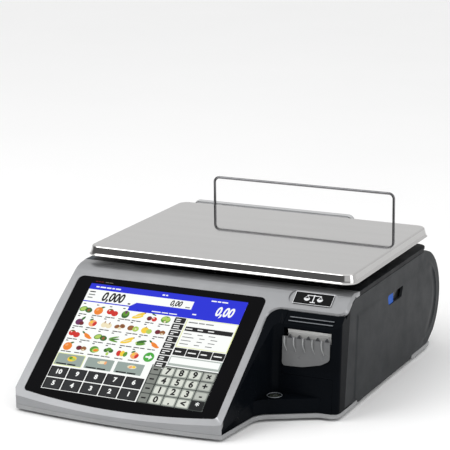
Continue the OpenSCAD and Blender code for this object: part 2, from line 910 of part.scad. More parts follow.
// Shallow field of the panel: straight in front, and round behind like the drum
module panel_field() {
    intersection() {
        along_x(side_x - 1.4, side_x + 1) polygon(outline([
            [260, 25, 0], [-90.5, 25, 8], [-79, 131, 10], [260, 131, 0],
        ]));
        union() {
            rod(side_x - 2, side_x + 2, [drum_y, drum_z], drum_r - 14.5);
            block([side_x - 2, -120, 0], [side_x + 2, drum_y, 160]);
        }
    }
}

module side_panel() {
    color(slate) difference() {
        union() {
            difference() {
                along_x(side_x - 3.5, side_x) polygon(side_profile(0.4));
                panel_field();
            }
            for (p = [[-100, 30], [-20, 120], [20, 40], [120, 140], [120, 24], [230, 81]])
                rod(plate_x + plate_t, side_x - 3.4, p, 4);
        }
        // Window of the latch
        along_x(side_x - 6, side_x + 1) polygon(outline([
            [window_at[0], window_at[2], 3], [window_at[1], window_at[2], 3],
            [window_at[1] + 7, window_at[3], 1.5], [window_at[0] - 5, window_at[3], 4],
        ]));
    }
}

module latch_button() {
    color([0.08, 0.3, 0.65]) union() {
        along_x(side_x - 3.2, side_x - 1) polygon(outline([
            [window_at[0] + 0.3, window_at[2] + 0.3, 2.7], [button_end, window_at[2] + 0.3, 1],
            [button_end, window_at[3] - 0.3, 1], [window_at[0] - 4.6, window_at[3] - 0.3, 3.7],
        ]));
        block([side_x - 6.4, 30, 106], [side_x - 3.7, 66, 138]);
        block([side_x - 4, window_at[0] + 1.5, window_at[2] + 1.5],
              [side_x - 3, button_end - 1, window_at[3] - 1.5]);
    }
}

// The mouth's nose, in the leaning frame: a block between depths d0 and d1 and heights z0 and z1
module nose_block(x0, x1, d0, d1, z0, z1) {
    leaning() block([x0, front_y + d0, z0], [x1, front_y + d1, z1]);
}

pocket = [104, 122.5];
nose_in = [mouth_x + 1.9, plate_x - 1.9];

module cassette_nose() {
    difference() {
        nose_block(mouth_x + 0.3, seam_x + 0.5, 0, 21, mouth_z + 0.6, 160);
        above_face(-1.6);
        // Room behind the skins
        difference() {
            union() {
                nose_block(nose_in[0], nose_in[1], 3, 40, 0, pocket[0] - 2.5);
                nose_block(nose_in[0], nose_in[1], 16.5, 40, 0, 200);
                nose_block(nose_in[0], nose_in[1], 3, 40, pocket[1] + 2.5, 200);
                nose_block(plate_x - 0.3, seam_x + 1, 3, 40, 0, 200);
            }
            above_face(-4.6);
        }
        // Pocket, and the slot that the label comes up through
        nose_block(nose_in[0], nose_in[1], -1, 14, pocket[0], pocket[1]);
        nose_block(nose_in[0], nose_in[1], 9, 14, pocket[0] - 4, pocket[0] + 1);
        rod(plate_x - 4, plate_x + 1, platen, 4);
    }
}

module cassette_cover() {
    color(night) difference() {
        union() {
            cassette_nose();
            // Corner strip between the printer's front and the side panel
            leaning() translate([0, 0, rim_top + 0.6]) linear_extrude(150) polygon(concat(
                outline([[seam_x + 0.3, front_y, 0], [side_x, front_y, 8.6], [side_x, -98, 0]]),
                outline([[side_x - wall, -98, 0], [side_x - wall, front_y + wall, 5.6],
                         [seam_x + 0.3, front_y + wall, 0]])
            ));
            // Its top, in the plane of the screen face
            intersection() {
                leaning() linear_extrude(200) polygon(outline([
                    [seam_x + 0.3, front_y, 0], [side_x, front_y, 8.6], [side_x, -98, 0],
                    [seam_x + 0.3, -98, 0],
                ]));
                on_face() block([0, 0, -3.4], [side_x - face_x, 100, -0.4]);
            }
            // Two slim trim bars over the pocket
            for (v = [76.8, 70.3]) on_face() block([mouth_x - face_x + 6, v, -4],
                                                 [seam_x - face_x - 3, v + 2.4, -0.4]);
        }
        above_face(-0.4);
        block([100, -200, -20], [300, 0, shell_z + 0.2]);
        // Under the arch's skirt
        difference() {
            on_face() translate([-400, arch_low - 0.6, -80]) cube([900, 400, 200]);
            under_face(skirt + joint_gap + 0.1);
        }
        along_x(side_x - 8, side_x + 1) polygon(side_profile(-0.2));
    }
}

module cassette_frame() {
    color(steel) difference() {
        union() {
            along_x(plate_x, plate_x + plate_t) polygon(concat(
                outline([[200, 22, 0], [160, 14, 4], [-112, 14, 6], [-136, 70, 8], [-136, 100, 8],
                         [-121, 108, 4], [-106, 132, 10], [-76, 146, 10]]),
                arc([drum_y, drum_z], 66, 90, -50, 14)
            ));
            along_x(cheek_x, cheek_x + cheek_t) polygon(outline([
                [-134, 76, 8], [-134, 97, 6], [-121, 97, 2], [-118, 112, 4], [-104, 134, 8],
                [-78, 134, 8], [-74, 100, 4], [-66, 40, 4], [-66, 20, 5], [-84, 20, 5], [-118, 60, 6],
            ]));
            // Tie bars
            for (p = [guide_bar, [-84, 52], [-96, 130]]) rod(cheek_x, plate_x + eps, p, 3.5);
            rod(cheek_x, plate_x + eps, lever_pin, 3);
            // Spindle of the take-up spool
            rod(138, plate_x + eps, spool, 4);
            // Stub that carries the idler gear
            rod(plate_x, gear_x + gear_w + 0.3, idler, 3);
        }
        rod(cheek_x - 1, plate_x + 5, platen, 3 + run_gap);
        rod(plate_x - 1, plate_x + 5, motor, 3.6);
    }
}

module slide_rods() {
    color([0.82, 0.82, 0.83]) for (p = rods) rod(22, plate_x, p, rod_r);
}

module slide_bushes() {
    color([0.85, 0.84, 0.8]) for (p = rods) difference() {
        block([98, p.x - 9, floor_top + 2], [125.8, p.x + 9, 27]);
        rod(97, 127, p, rod_r + run_gap);
    }
}

module drive_motor() {
    color([0.18, 0.18, 0.2]) difference() {
        union() {
            along_x(169, plate_x) polygon(outline([
                [motor.x - 17.5, motor.y - 17.5, 4], [motor.x + 17.5, motor.y - 17.5, 4],
                [motor.x + 17.5, motor.y + 17.5, 4], [motor.x - 17.5, motor.y + 17.5, 4],
            ]));
            rod(162, 170, motor, 7);
            rod(plate_x - eps, plate_x + plate_t, motor, 3.5);
        }
        rod(162.9, plate_x + 5, motor, 2 + run_gap);
    }
}

// Teeth of an involute gear at their rest angle
function involute(rb, r) = let (t = sqrt(max(0, (r / rb) * (r / rb) - 1))) t * 180 / PI - atan(t);

module gear_teeth(teeth, turn) {
    pitch = teeth * gear_m / 2;
    base = pitch * cos(20);
    root = pitch - 1.3 * gear_m;
    tip = pitch + 0.9 * gear_m;
    half = 90 / teeth - 0.06 * 180 / (PI * pitch) + involute(base, pitch);
    low = max(root, base);
    radii = [low, low + (tip - low) * 0.35, low + (tip - low) * 0.7, tip];
    polygon([for (i = [0:teeth - 1]) let (a = turn + i * 360 / teeth) each concat(
        [root * [cos(a - half), sin(a - half)]],
        [for (r = radii) r * [cos(a - half + involute(base, r)), sin(a - half + involute(base, r))]],
        [for (k = [3:-1:0]) radii[k] * [cos(a + half - involute(base, radii[k])),
                                        sin(a + half - involute(base, radii[k]))]],
        [root * [cos(a + half), sin(a + half)]]
    )]);
}

// A spur gear on an axis along X, with bore radius r
module gear(p, teeth, turn, r) {
    translate([gear_x, p.x, p.y]) rotate([90, 0, 90]) linear_extrude(gear_w) difference() {
        gear_teeth(teeth, turn);
        circle(r = r);
    }
}

// The platen gear has a tooth on the line to the idler, and the idler a gap there
idler_turn = idler_line + 180 + 180 / idler_teeth;
// Angle from the idler's nearest tooth to the line to the pinion
idler_phase = (pinion_line - idler_turn) * idler_teeth / 360;
pinion_turn = pinion_line + 180 + (0.5 + idler_phase) * 360 / pinion_teeth;

module platen_gear() {
    color([0.85, 0.83, 0.75]) gear(platen, platen_teeth, idler_line, 2.6);
}

module idler_gear() {
    color([0.85, 0.83, 0.75]) gear(idler, idler_teeth, idler_turn, 3 + run_gap);
}

module motor_pinion() {
    color([0.8, 0.65, 0.3]) union() {
        gear(motor, pinion_teeth, pinion_turn, 2);
        rod(163, gear_x + gear_w + 0.3, motor, 2);
    }
}

module platen_roller() {
    color([0.12, 0.12, 0.13]) union() {
        rod(web_x, web_x + paper_w, platen, platen_r);
        rod(cheek_x - 0.2, plate_x + plate_t, platen, 3);
        rod(plate_x + plate_t - eps, gear_x + gear_w + 0.3, platen, 2.6);
    }
}

lever_x = [137, 199];

module head_lever() {
    color([0.6, 0.61, 0.63]) difference() {
        union() {
            // Plate that carries the head, and the ears around the pivot pin
            along_x(lever_x[0], lever_x[1]) polygon([
                [-106, 84], [-103, 84], [-101, 100], [-91, 114], [-94, 117], [-104, 102],
            ]);
            for (x = [lever_x[0], lever_x[1] - 8]) rod(x, x + 8, lever_pin, 6.5);
            for (x = [lever_x[0], lever_x[1] - 8]) along_x(x, x + 8)
                polygon([[-101, 106], [-93, 124], [-84, 118], [-96, 104]]);
            // Finger tab
            block([160, -97, 108], [176, -78, 110.5]);
        }
        rod(lever_x[0] - 1, lever_x[1] + 1, lever_pin, 3 + run_gap);
    }
}

module print_head() {
    color([0.35, 0.3, 0.2]) along_x(lever_x[0] + 2, lever_x[1] - 2)
        polygon([[-115.4, 86], [-106, 84.4], [-104.2, 101.5], [-113.5, 98]]);
}

// Path of the paper: off the bottom of the roll, under the guide bar, up through the nip
// and out over the tear edge
function web_path(t) = concat(
    [[drum_y, drum_z - label_roll_r - 0.3 - t], [guide_bar.x + 3, guide_bar.y - 4.2 - t]],
    [for (a = [-90:-25:-165]) guide_bar + (3.9 + t) * [cos(a), sin(a)]],
    [[-115.6 - t, 84], [-115.6 - t, 92], [-117 - 0.8 * t, 95.5 - 0.6 * t], [-122 - 0.3 * t, 98.2 - t]],
    [[-129.5 - 0.4 * t, 99 - t], [-133 - t, 103 - 0.4 * t], [-134.2 - t, 111], [-136 - t, 119]]
);

module label_web() {
    a = web_path(0);
    b = web_path(web_t);
    color([0.95, 0.95, 0.93]) along_x(web_x, web_x + paper_w)
        polygon(concat(a, [for (i = [len(b) - 1:-1:0]) b[i]]));
}

module roll_hub() {
    color([0.2, 0.2, 0.22]) difference() {
        rod(137, plate_x, [drum_y, drum_z], 20 - run_gap);
        rod(139, plate_x - 3, [drum_y, drum_z], 16);
    }
}

module roll_core() {
    color([0.65, 0.52, 0.38]) difference() {
        rod(138, 138 + 64, [drum_y, drum_z], 22);
        rod(137, 138 + 65, [drum_y, drum_z], 20);
    }
}

module label_roll() {
    color([0.93, 0.93, 0.9]) difference() {
        rod(138, 138 + 64, [drum_y, drum_z], label_roll_r);
        rod(137, 138 + 65, [drum_y, drum_z], 22);
    }
}

module rewind_spool() {
    color([0.8, 0.75, 0.6]) difference() {
        union() {
            rod(140, 201, spool, 20);
            rod(200, 202.6, spool, 30);
        }
        rod(139, 204, spool, 4 + run_gap);
    }
}

flap_x = [131.4, 200.5];
flap_z = [70, 111];
rib_pitch = 13.5;

module label_flap() {
    color([0.5, 0.5, 0.5, 0.9]) leaning() {
        translate([0, front_y - 0.5, 0]) rotate([90, 0, 0]) linear_extrude(1.6) union() {
            polygon(outline([
                [flap_x[0], flap_z[1], 0], [flap_x[0], flap_z[0], 5],
                [flap_x[0] + 30, flap_z[0] + 1, 60], [flap_x[1] - 12, flap_z[0] + 7, 25],
                [flap_x[1], flap_z[0] + 14, 7], [flap_x[1], flap_z[1], 0],
            ]));
            // Toothed upper edge
            for (i = [0:4]) translate([flap_x[0] + 11 + i * rib_pitch, flap_z[1]])
                polygon([[-4, -1], [4, -1], [4, 0], [0.6, 3.2], [-0.6, 3.2], [-4, 0]]);
        }
        // Ribs that guide the label
        for (i = [0:4]) translate([flap_x[0] + 4 + i * rib_pitch, 0, 0])
            block([0, front_y - 3.4, 92], [1.3, front_y - 2, flap_z[1]]);
        // Feet that hold it off the housing
        for (x = [142, 190]) block([x - 3, front_y - 0.6, 84], [x + 3, front_y - 0.02, 92]);
    }
}

// ---------- feet ----------

module foot(p) {
    color([0.05, 0.05, 0.05]) translate([p.x, p.y, 0]) {
        cylinder(h = base_gap - 0.4, r = 15);
        cylinder(h = base_gap + 9, r = stud_r);
    }
}

base_tray();
upper_housing();
front_bezel();
touch_glass();
lcd_module();
lcd_bracket();
printer_bay();
level_vial();
level_lens();
front_badge();
drum_housing();
drum_badge();
rear_panel();
chassis_plate();
load_cell_pedestal();
load_cell();
spider_post();
platter_spider();
platter_pads();
overload_stops();
load_cell_bolts();
main_board();
heatsink();
power_supply();
power_inlet();
power_switch();
port_sockets();
slide_bushes();
housing_screws();
rating_plate();
display_bracket();
display_case();
display_bezel();
display_glass();
display_lcd();
display_caps();
platter();
guard_wire();
side_panel();
cassette_frame();
cassette_cover();
label_flap();
label_web();
slide_rods();
drive_motor();
roll_hub();
latch_button();
label_roll();
roll_core();
rewind_spool();
platen_roller();
platen_gear();
idler_gear();
motor_pinion();
head_lever();
print_head();
foot(foot_fl);  // foot_front_left
foot(foot_fr);  // foot_front_right
foot(foot_rl);  // foot_rear_left
foot(foot_rr);  // foot_rear_right
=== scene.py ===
"""Looks of the retail price scale: materials, lit screens and finely shaped pieces on the CAD frame."""

import math

import bmesh
import bpy
from mathutils import Matrix, Vector
from mathutils.geometry import delaunay_2d_cdt, intersect_point_line


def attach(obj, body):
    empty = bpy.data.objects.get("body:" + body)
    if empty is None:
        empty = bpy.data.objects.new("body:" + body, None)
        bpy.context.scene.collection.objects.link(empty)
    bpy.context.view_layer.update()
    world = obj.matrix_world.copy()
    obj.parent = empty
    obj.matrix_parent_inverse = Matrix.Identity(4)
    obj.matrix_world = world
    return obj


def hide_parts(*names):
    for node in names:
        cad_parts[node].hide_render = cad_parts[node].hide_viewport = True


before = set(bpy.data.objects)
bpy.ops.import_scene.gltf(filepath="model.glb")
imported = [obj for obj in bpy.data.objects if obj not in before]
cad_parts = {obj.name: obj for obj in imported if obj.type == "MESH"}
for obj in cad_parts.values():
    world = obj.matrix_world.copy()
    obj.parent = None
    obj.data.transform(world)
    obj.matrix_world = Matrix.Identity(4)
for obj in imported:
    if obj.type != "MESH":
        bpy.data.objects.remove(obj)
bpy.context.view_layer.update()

# ---- sizes, in millimetres
MM = 0.001
# Side panel: its outer face, its thickness and the middle of its window
SIDE_X, PANEL_T, WINDOW_Y = 214.0, 3.5, 60.0
# Seller screen: middle and tilt of its face, lit width and height, level of its glass
FACE_CENTRE, FACE_TILT = (-53.3, -194.7, 88.7), 36.6
LIT_W, LIT_H = 246.0, 184.5
GLASS_TOP = -0.4
# Bezel: height on the face where its roll starts, its rear edge
ROLL_V, BEZEL_BACK = 112.7, -71.5
# Front badge: its middle on the face, thickness and the depth of its recess
BADGE_AT, BADGE_T, BADGE_FLOOR = (213.0, 112.0), 1.3, 2.2
# Printer front: its foot's place and height, its lean, and the flap's left and upper edges
FRONT_Y, RIM_TOP, FRONT_LEAN = -150.3, 10.0, 4.5
FLAP_LEFT, FLAP_TOP = 131.4, 111.0
# Customer screen: middle of its upper edge, rake and level of its glass
DISPLAY_TOP, DISPLAY_RAKE = (-57.0, 246.0, 186.3), 15.0
DISPLAY_GLASS = -0.8
# Drum round the label roll, and the radius of its badge
DRUM_Y, DRUM_Z, DRUM_R = 181.0, 81.0, 75.5
DRUM_BADGE_R = DRUM_R + 1.0
# Edges over this many degrees are rounded, or shaded as sharp
SHARP = 32.0


def place(origin, *turns):
    """Millimetres to metres, from a place with its own axes: turns of (degrees, axis), outermost first."""
    m = Matrix.Translation(Vector(origin) * MM)
    for angle, axis in turns:
        m = m @ Matrix.Rotation(math.radians(angle), 4, axis)
    return m @ Matrix.Scale(MM, 4)


ROW = Matrix.Scale(MM, 4)
FACE = place(FACE_CENTRE, (FACE_TILT, "X"))
DISPLAY = place(DISPLAY_TOP, (180, "Z"), (90 - DISPLAY_RAKE, "X"))
LEANING = place((0, FRONT_Y, RIM_TOP), (-FRONT_LEAN, "X")) @ Matrix.Translation((0, -FRONT_Y, -RIM_TOP))


# ---- materials
def linear(*c):
    """Linear colour from one given as 0 to 255."""
    def one(x):
        x /= 255
        return x / 12.92 if x <= 0.04045 else ((x + 0.055) / 1.055) ** 2.4
    return tuple(one(x) for x in c) + (1.0,)


class Shader:
    """A Principled material, built up from procedural patterns in the piece's own coordinates."""

    def __init__(self, name, colour, rough, metal=0.0, specular=0.5, coat=0.0):
        self.mat = bpy.data.materials.new(name)
        self.mat.use_nodes = True
        self.tree = self.mat.node_tree
        self.p = self.tree.nodes["Principled BSDF"]
        self.colour, self.rough = linear(*colour), rough
        self.bump = None
        values = {"Base Color": self.colour, "Roughness": rough, "Metallic": metal,
                  "Specular IOR Level": specular, "Coat Weight": coat, "Coat Roughness": 0.05}
        for key, value in values.items():
            self.p.inputs[key].default_value = value
        self.mat.diffuse_color = self.colour

    def node(self, kind, **values):
        """A new node, with values for its settings or its inputs."""
        n = self.tree.nodes.new(kind)
        for key, value in values.items():
            if hasattr(n, key):
                setattr(n, key, value)
            else:
                n.inputs[key.replace("_", " ")].default_value = value
        return n

    def link(self, a, b):
        self.tree.links.new(a, b)

    def noise(self, scale, detail, stretch):
        """Noise with about scale blobs to the metre, drawn out along an axis by stretch."""
        where = self.node("ShaderNodeTexCoord")
        sized = self.node("ShaderNodeMapping")
        sized.inputs["Scale"].default_value = stretch
        n = self.node("ShaderNodeTexNoise", Scale=scale, Detail=detail, Roughness=0.55)
        self.link(where.outputs["Object"], sized.inputs["Vector"])
        self.link(sized.outputs["Vector"], n.inputs["Vector"])
        return n.outputs["Fac"]

    def spread(self, fac, low, high, start=0.3, end=0.7):
        """Maps fac, from start to end, onto low to high."""
        m = self.node("ShaderNodeMapRange")
        for i, value in enumerate((start, end, low, high), 1):
            m.inputs[i].default_value = value
        self.link(fac, m.inputs[0])
        return m.outputs[0]

    def mottle(self, amount, scale, stretch=(1, 1, 1)):
        """Slow change of colour, by amount up and down."""
        mix = self.node("ShaderNodeMix", data_type="RGBA")
        mix.inputs[6].default_value = tuple(c * (1 - amount) for c in self.colour[:3]) + (1,)
        mix.inputs[7].default_value = tuple(min(c * (1 + amount), 1) for c in self.colour[:3]) + (1,)
        self.link(self.spread(self.noise(scale, 4.0, stretch), 0, 1), mix.inputs[0])
        self.link(mix.outputs[2], self.p.inputs["Base Color"])
        return self

    def smudge(self, amount, scale, stretch=(1, 1, 1)):
        """Patches of rougher and smoother gloss."""
        low, high = max(self.rough - amount, 0.02), min(self.rough + amount, 1)
        self.link(self.spread(self.noise(scale, 5.0, stretch), low, high), self.p.inputs["Roughness"])
        return self

    def grain(self, scale, height, strength, stretch=(1, 1, 1)):
        """Fine surface texture, height in millimetres."""
        b = self.node("ShaderNodeBump", Strength=strength, Distance=height * MM)
        self.link(self.noise(scale, 2.0, stretch), b.inputs["Height"])
        if self.bump is not None:
            self.link(self.bump, b.inputs["Normal"])
        self.bump = b.outputs["Normal"]
        self.link(self.bump, self.p.inputs["Normal"])
        return self

    def glow(self, colour, strength):
        self.p.inputs["Emission Color"].default_value = colour
        self.p.inputs["Emission Strength"].default_value = strength
        return self


# Painted and plated metals
SILVER = (Shader("silver_paint", (150, 151, 153), 0.34, metal=0.7)
          .mottle(0.05, 30).smudge(0.05, 60).grain(2600, 0.02, 0.25).grain(90, 0.03, 0.12)).mat
BASE = (Shader("base_silver", (156, 157, 158), 0.42, metal=0.4, specular=0.4)
        .mottle(0.04, 25).smudge(0.05, 50).grain(3000, 0.03, 0.3)).mat
SCREEN_SILVER = (Shader("display_silver", (192, 193, 194), 0.34, metal=0.4)
                 .mottle(0.04, 30).smudge(0.05, 60).grain(2600, 0.02, 0.25)).mat
STEEL = (Shader("stainless", (198, 197, 196), 0.05, metal=1.0)
         .mottle(0.02, 6, (1, 8, 1)).smudge(0.015, 400, (0.03, 1, 1)).grain(6, 0.12, 0.04)).mat
WIRE = (Shader("wire_steel", (112, 112, 114), 0.16, metal=1.0)
        .mottle(0.05, 60).smudge(0.05, 150).grain(900, 0.01, 0.1)).mat
ZINC = (Shader("zinc_plate", (168, 170, 172), 0.36, metal=0.9)
        .mottle(0.1, 60).smudge(0.1, 90).grain(500, 0.03, 0.2)).mat
BRASS = Shader("brass", (196, 160, 84), 0.3, metal=1.0).mottle(0.06, 90).smudge(0.06, 90).mat

# Dark mouldings and rubber
PANEL = (Shader("panel_grey", (42, 44, 46), 0.42, specular=0.07)
         .mottle(0.06, 22).smudge(0.06, 35).grain(2200, 0.05, 0.35)).mat
GLOSS = (Shader("gloss_black", (9, 12, 16), 0.22, specular=0.02)
         .mottle(0.15, 20).smudge(0.05, 40).grain(60, 0.02, 0.1)).mat
SATIN = (Shader("satin_black", (18, 21, 27), 0.34, specular=0.1)
         .mottle(0.1, 20).smudge(0.06, 30).grain(2000, 0.03, 0.25)).mat
SMOKED = (Shader("smoked_plastic", (102, 103, 104), 0.3, specular=0.4)
          .mottle(0.08, 40).smudge(0.05, 60).grain(900, 0.02, 0.15)).mat
RUBBER = (Shader("rubber_black", (17, 17, 18), 0.8, specular=0.25)
          .mottle(0.15, 60).smudge(0.08, 60).grain(1500, 0.08, 0.5)).mat


def slate_cover_with_painted_shade():
    """Slate on the left side of the cover, near-black over its deck and right side: painted shade from the
    platter above.
    """
    s = Shader("slate_cover_with_painted_shade", (66, 72, 77), 0.5, specular=0.1)
    s.mottle(0.05, 22).smudge(0.06, 35).grain(2200, 0.05, 0.35)
    where, parts = s.node("ShaderNodeTexCoord"), s.node("ShaderNodeSeparateXYZ")
    s.link(where.outputs["Object"], parts.inputs[0])
    # Painted shade: right of the left face the cover turns near-black, standing in for the platter's shadow.
    dark = s.node("ShaderNodeMix", data_type="RGBA")
    left_face, deck_edge = -204.5 * MM, -202.5 * MM
    s.link(s.spread(parts.outputs["X"], 0, 1, left_face, deck_edge), dark.inputs[0])
    s.link(s.p.inputs["Base Color"].links[0].from_socket, dark.inputs[6])
    dark.inputs[7].default_value = linear(17, 19, 22)
    s.link(dark.outputs[2], s.p.inputs["Base Color"])
    return s.mat


SLATE_WITH_SHADE = slate_cover_with_painted_shade()

# Paper and card; the wound paper has fine rings round the roll's axis
PAPER = (Shader("paper_white", (242, 242, 240), 0.75, specular=0.2)
         .mottle(0.02, 60).smudge(0.05, 80).grain(1800, 0.03, 0.3)).mat
ROLL = (Shader("roll_paper", (224, 223, 218), 0.8, specular=0.2)
        .mottle(0.05, 400).grain(1500, 0.05, 0.4, (0.05, 1, 1)).smudge(0.05, 60)).mat
CARD = (Shader("card_brown", (150, 118, 84), 0.85, specular=0.15)
        .mottle(0.1, 120).smudge(0.05, 60).grain(900, 0.05, 0.3)).mat

# Level, circuit board and studio floor
LIQUID = (Shader("level_liquid", (52, 56, 46), 0.08, specular=0.6, coat=0.5)
          .mottle(0.1, 200).smudge(0.03, 200)).mat
BOARD = (Shader("board_green", (28, 92, 58), 0.4)
         .mottle(0.15, 300).smudge(0.08, 200).grain(700, 0.05, 0.3)).mat
FLOOR = (Shader("studio_floor", (250, 250, 250), 0.75, specular=0.2)
         .mottle(0.008, 1.5).smudge(0.05, 3)).mat


def dark_glass(name, *colour):
    return Shader(name, colour, 0.06, specular=0.05).mottle(0.3, 12).smudge(0.03, 35).mat


GLASS = dark_glass("glass_black", 4, 4, 6)
SCREEN_GLASS = dark_glass("display_glass_black", 26, 21, 20)


def plain_plastic(name, colour, rough, specular=0.35):
    return (Shader(name, colour, rough, specular=specular)
            .mottle(0.06, 50).smudge(0.05, 60).grain(2000, 0.03, 0.25)).mat


LATCH_BLUE = plain_plastic("latch_blue", (8, 78, 168), 0.4, 0.08)
IVORY = plain_plastic("ivory_plastic", (214, 208, 188), 0.4)
DARK_METAL = plain_plastic("dark_metal", (44, 45, 48), 0.4)
BADGE_BLACK = plain_plastic("badge_black", (8, 9, 11), 0.25, 0.1)
BADGE_WHITE = plain_plastic("badge_white", (225, 226, 228), 0.4)
PLATE = plain_plastic("rating_foil", (184, 196, 198), 0.35)
LABEL_INK = plain_plastic("label_ink", (112, 124, 128), 0.5)
LABEL_GREEN = plain_plastic("label_green", (36, 110, 48), 0.5)
FRAME_GREY = plain_plastic("frame_grey", (70, 76, 84), 0.3)
# Grey of the level's rim, and painted highlight on the bars over the label pocket.
TRIM_AND_HIGHLIGHT_GREY = plain_plastic("trim_and_highlight_grey", (104, 108, 112), 0.28)
# Painted highlight: the flap's ribs in a grey lighter than its smoked plastic.
RIB_HIGHLIGHT = plain_plastic("rib_highlight_grey", (160, 162, 162), 0.35)

_inks = {}


def ink(*colour):
    """Light of one colour from a screen, under its glass."""
    if colour not in _inks:
        nearly_black = (6.5892,) * 3
        s = Shader("lit_%d_%d_%d" % colour, nearly_black, 0.1, specular=0.2)
        _inks[colour] = s.smudge(0.03, 35).glow(linear(*colour), 1.0).mat
    return _inks[colour]


# ---- shading of the CAD nodes
def dressing():
    """Nodes that weld a CAD mesh, drop its stored normals and shade it smooth."""
    g = bpy.data.node_groups.new("dressing", "GeometryNodeTree")
    for way in ("INPUT", "OUTPUT"):
        g.interface.new_socket("Geometry", in_out=way, socket_type="NodeSocketGeometry")
    start, end = g.nodes.new("NodeGroupInput"), g.nodes.new("NodeGroupOutput")
    weld = g.nodes.new("GeometryNodeMergeByDistance")
    weld.inputs["Distance"].default_value = 0.01 * MM
    plain = g.nodes.new("GeometryNodeRemoveAttribute")
    plain.inputs["Name"].default_value = "custom_normal"
    smooth = g.nodes.new("GeometryNodeSetShadeSmooth")
    steps = [start, weld, plain, smooth, end]
    for a, b in zip(steps, steps[1:]):
        g.links.new(a.outputs[0], b.inputs[0])
    return g


DRESSING = dressing()


def dress(node, material, width):
    """A CAD node as it is, with its material and its edges rounded by width in millimetres."""
    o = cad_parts[node]
    for slot in o.material_slots:
        slot.material = material
    o.modifiers.new("dressing", "NODES").node_group = DRESSING
    flat = o.modifiers.new("flats", "DECIMATE")
    flat.decimate_type = "DISSOLVE"
    flat.angle_limit = math.radians(0.3)
    if width:
        edges = o.modifiers.new("edges", "BEVEL")
        edges.width = width * MM
        edges.segments = 2 if width < 2 else 4
        edges.limit_method = "ANGLE"
        edges.angle_limit = math.radians(SHARP)
        edges.use_clamp_overlap = True
    o.modifiers.new("normals", "WEIGHTED_NORMAL").keep_sharp = False


# ---- new pieces
def piece(name, bm, materials, body, *nodes):
    """A piece from a bmesh in metres, which rides on a body and replaces the nodes given."""
    bmesh.ops.recalc_face_normals(bm, faces=bm.faces)
    me = bpy.data.meshes.new(name)
    bm.to_mesh(me)
    bm.free()
    for m in materials:
        me.materials.append(m)
    o = bpy.data.objects.new(name, me)
    bpy.context.scene.collection.objects.link(o)
    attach(o, body)
    if nodes:
        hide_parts(*nodes)
    return o


def shade(bm, angle):
    """Smooth shading, with the edges over angle kept sharp."""
    for f in bm.faces:
        f.smooth = True
    for e in bm.edges:
        e.smooth = len(e.link_faces) == 2 and e.calc_face_angle(0) < math.radians(angle)


def to_metres(bm, matrix):
    bmesh.ops.transform(bm, matrix=matrix, verts=bm.verts)


def finished(name, bm, material, body, *nodes, matrix=ROW, angle=SHARP):
    """A piece of one material from a bmesh in millimetres, smooth up to an angle."""
    to_metres(bm, matrix)
    shade(bm, angle)
    return piece(name, bm, [material], body, *nodes)


def weigh(o):
    """Keeps flat faces flat beside their rounded edges."""
    o.modifiers.new("normals", "WEIGHTED_NORMAL").keep_sharp = True
    return o


def reworked(node):
    """A bmesh copy of a CAD node, in millimetres, welded and with whole flat faces."""
    bm = bmesh.new()
    bm.from_mesh(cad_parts[node].data)
    bmesh.ops.scale(bm, vec=(1 / MM,) * 3, verts=bm.verts)
    bmesh.ops.remove_doubles(bm, verts=bm.verts, dist=0.01)
    bmesh.ops.dissolve_limit(bm, angle_limit=math.radians(0.3), verts=bm.verts, edges=bm.edges)
    return bm


def rounded(bm, pick, width, segments, clamp=True):
    """Rounds the sharp edges that pick accepts, or chamfers them if segments is 1."""
    edges = [e for e in bm.edges if len(e.link_faces) == 2
             and e.calc_face_angle(0) > math.radians(20) and pick(e)]
    bmesh.ops.bevel(bm, geom=edges, offset=width, offset_type="OFFSET", segments=segments,
                    profile=0.5, affect="EDGES", clamp_overlap=clamp)


def arc(cx, cy, r, a, b, n):
    """Points along an arc from angle a to angle b, in degrees."""
    turns = [math.radians(a + (b - a) * i / n) for i in range(n + 1)]
    return [(cx + r * math.cos(t), cy + r * math.sin(t)) for t in turns]


def box(x0, y0, x1, y1):
    return [(x0, y0), (x1, y0), (x1, y1), (x0, y1)]


def rounded_rectangle(x0, y0, x1, y1, r, n):
    """A rectangle's outline with each corner an arc of n steps."""
    r = min(r, (x1 - x0) / 2 - 1e-4, (y1 - y0) / 2 - 1e-4)
    return (arc(x1 - r, y0 + r, r, -90, 0, n) + arc(x1 - r, y1 - r, r, 0, 90, n)
            + arc(x0 + r, y1 - r, r, 90, 180, n) + arc(x0 + r, y0 + r, r, 180, 270, n))


def ellipse(cx, cy, rx, ry, turn=0.0, n=20):
    c, s = math.cos(math.radians(turn)), math.sin(math.radians(turn))
    points = []
    for i in range(n):
        x, y = rx * math.cos(math.tau * i / n), ry * math.sin(math.tau * i / n)
        points.append((cx + x * c - y * s, cy + x * s + y * c))
    return points


def prism(bm, points, z0, z1, material):
    """A closed slab over an outline."""
    low = [bm.verts.new((x, y, z0)) for x, y in points]
    high = [bm.verts.new((x, y, z1)) for x, y in points]
    faces = [bm.faces.new(high), bm.faces.new(low[::-1])]
    n = len(points)
    faces += [bm.faces.new((low[i], low[(i + 1) % n], high[(i + 1) % n], high[i])) for i in range(n)]
    for f in faces:
        f.material_index = material


def loft(bm, rings, close=False):
    """Skins rings of 3-D points and caps the ends, or joins the last ring to the first."""
    rows = [[bm.verts.new(p) for p in ring] for ring in rings]
    pairs = list(zip(rows, rows[1:])) + ([(rows[-1], rows[0])] if close else [])
    n = len(rows[0])
    for a, b in pairs:
        for i in range(n):
            bm.faces.new((a[i], a[(i + 1) % n], b[(i + 1) % n], b[i]))
    if not close:
        bm.faces.new(rows[0][::-1])
        bm.faces.new(rows[-1])


def on_drum(reach, angle):
    """Point in y and z at a distance from the drum's axis, angle degrees above level."""
    a = math.radians(angle)
    return DRUM_Y + reach * math.cos(a), DRUM_Z + reach * math.sin(a)


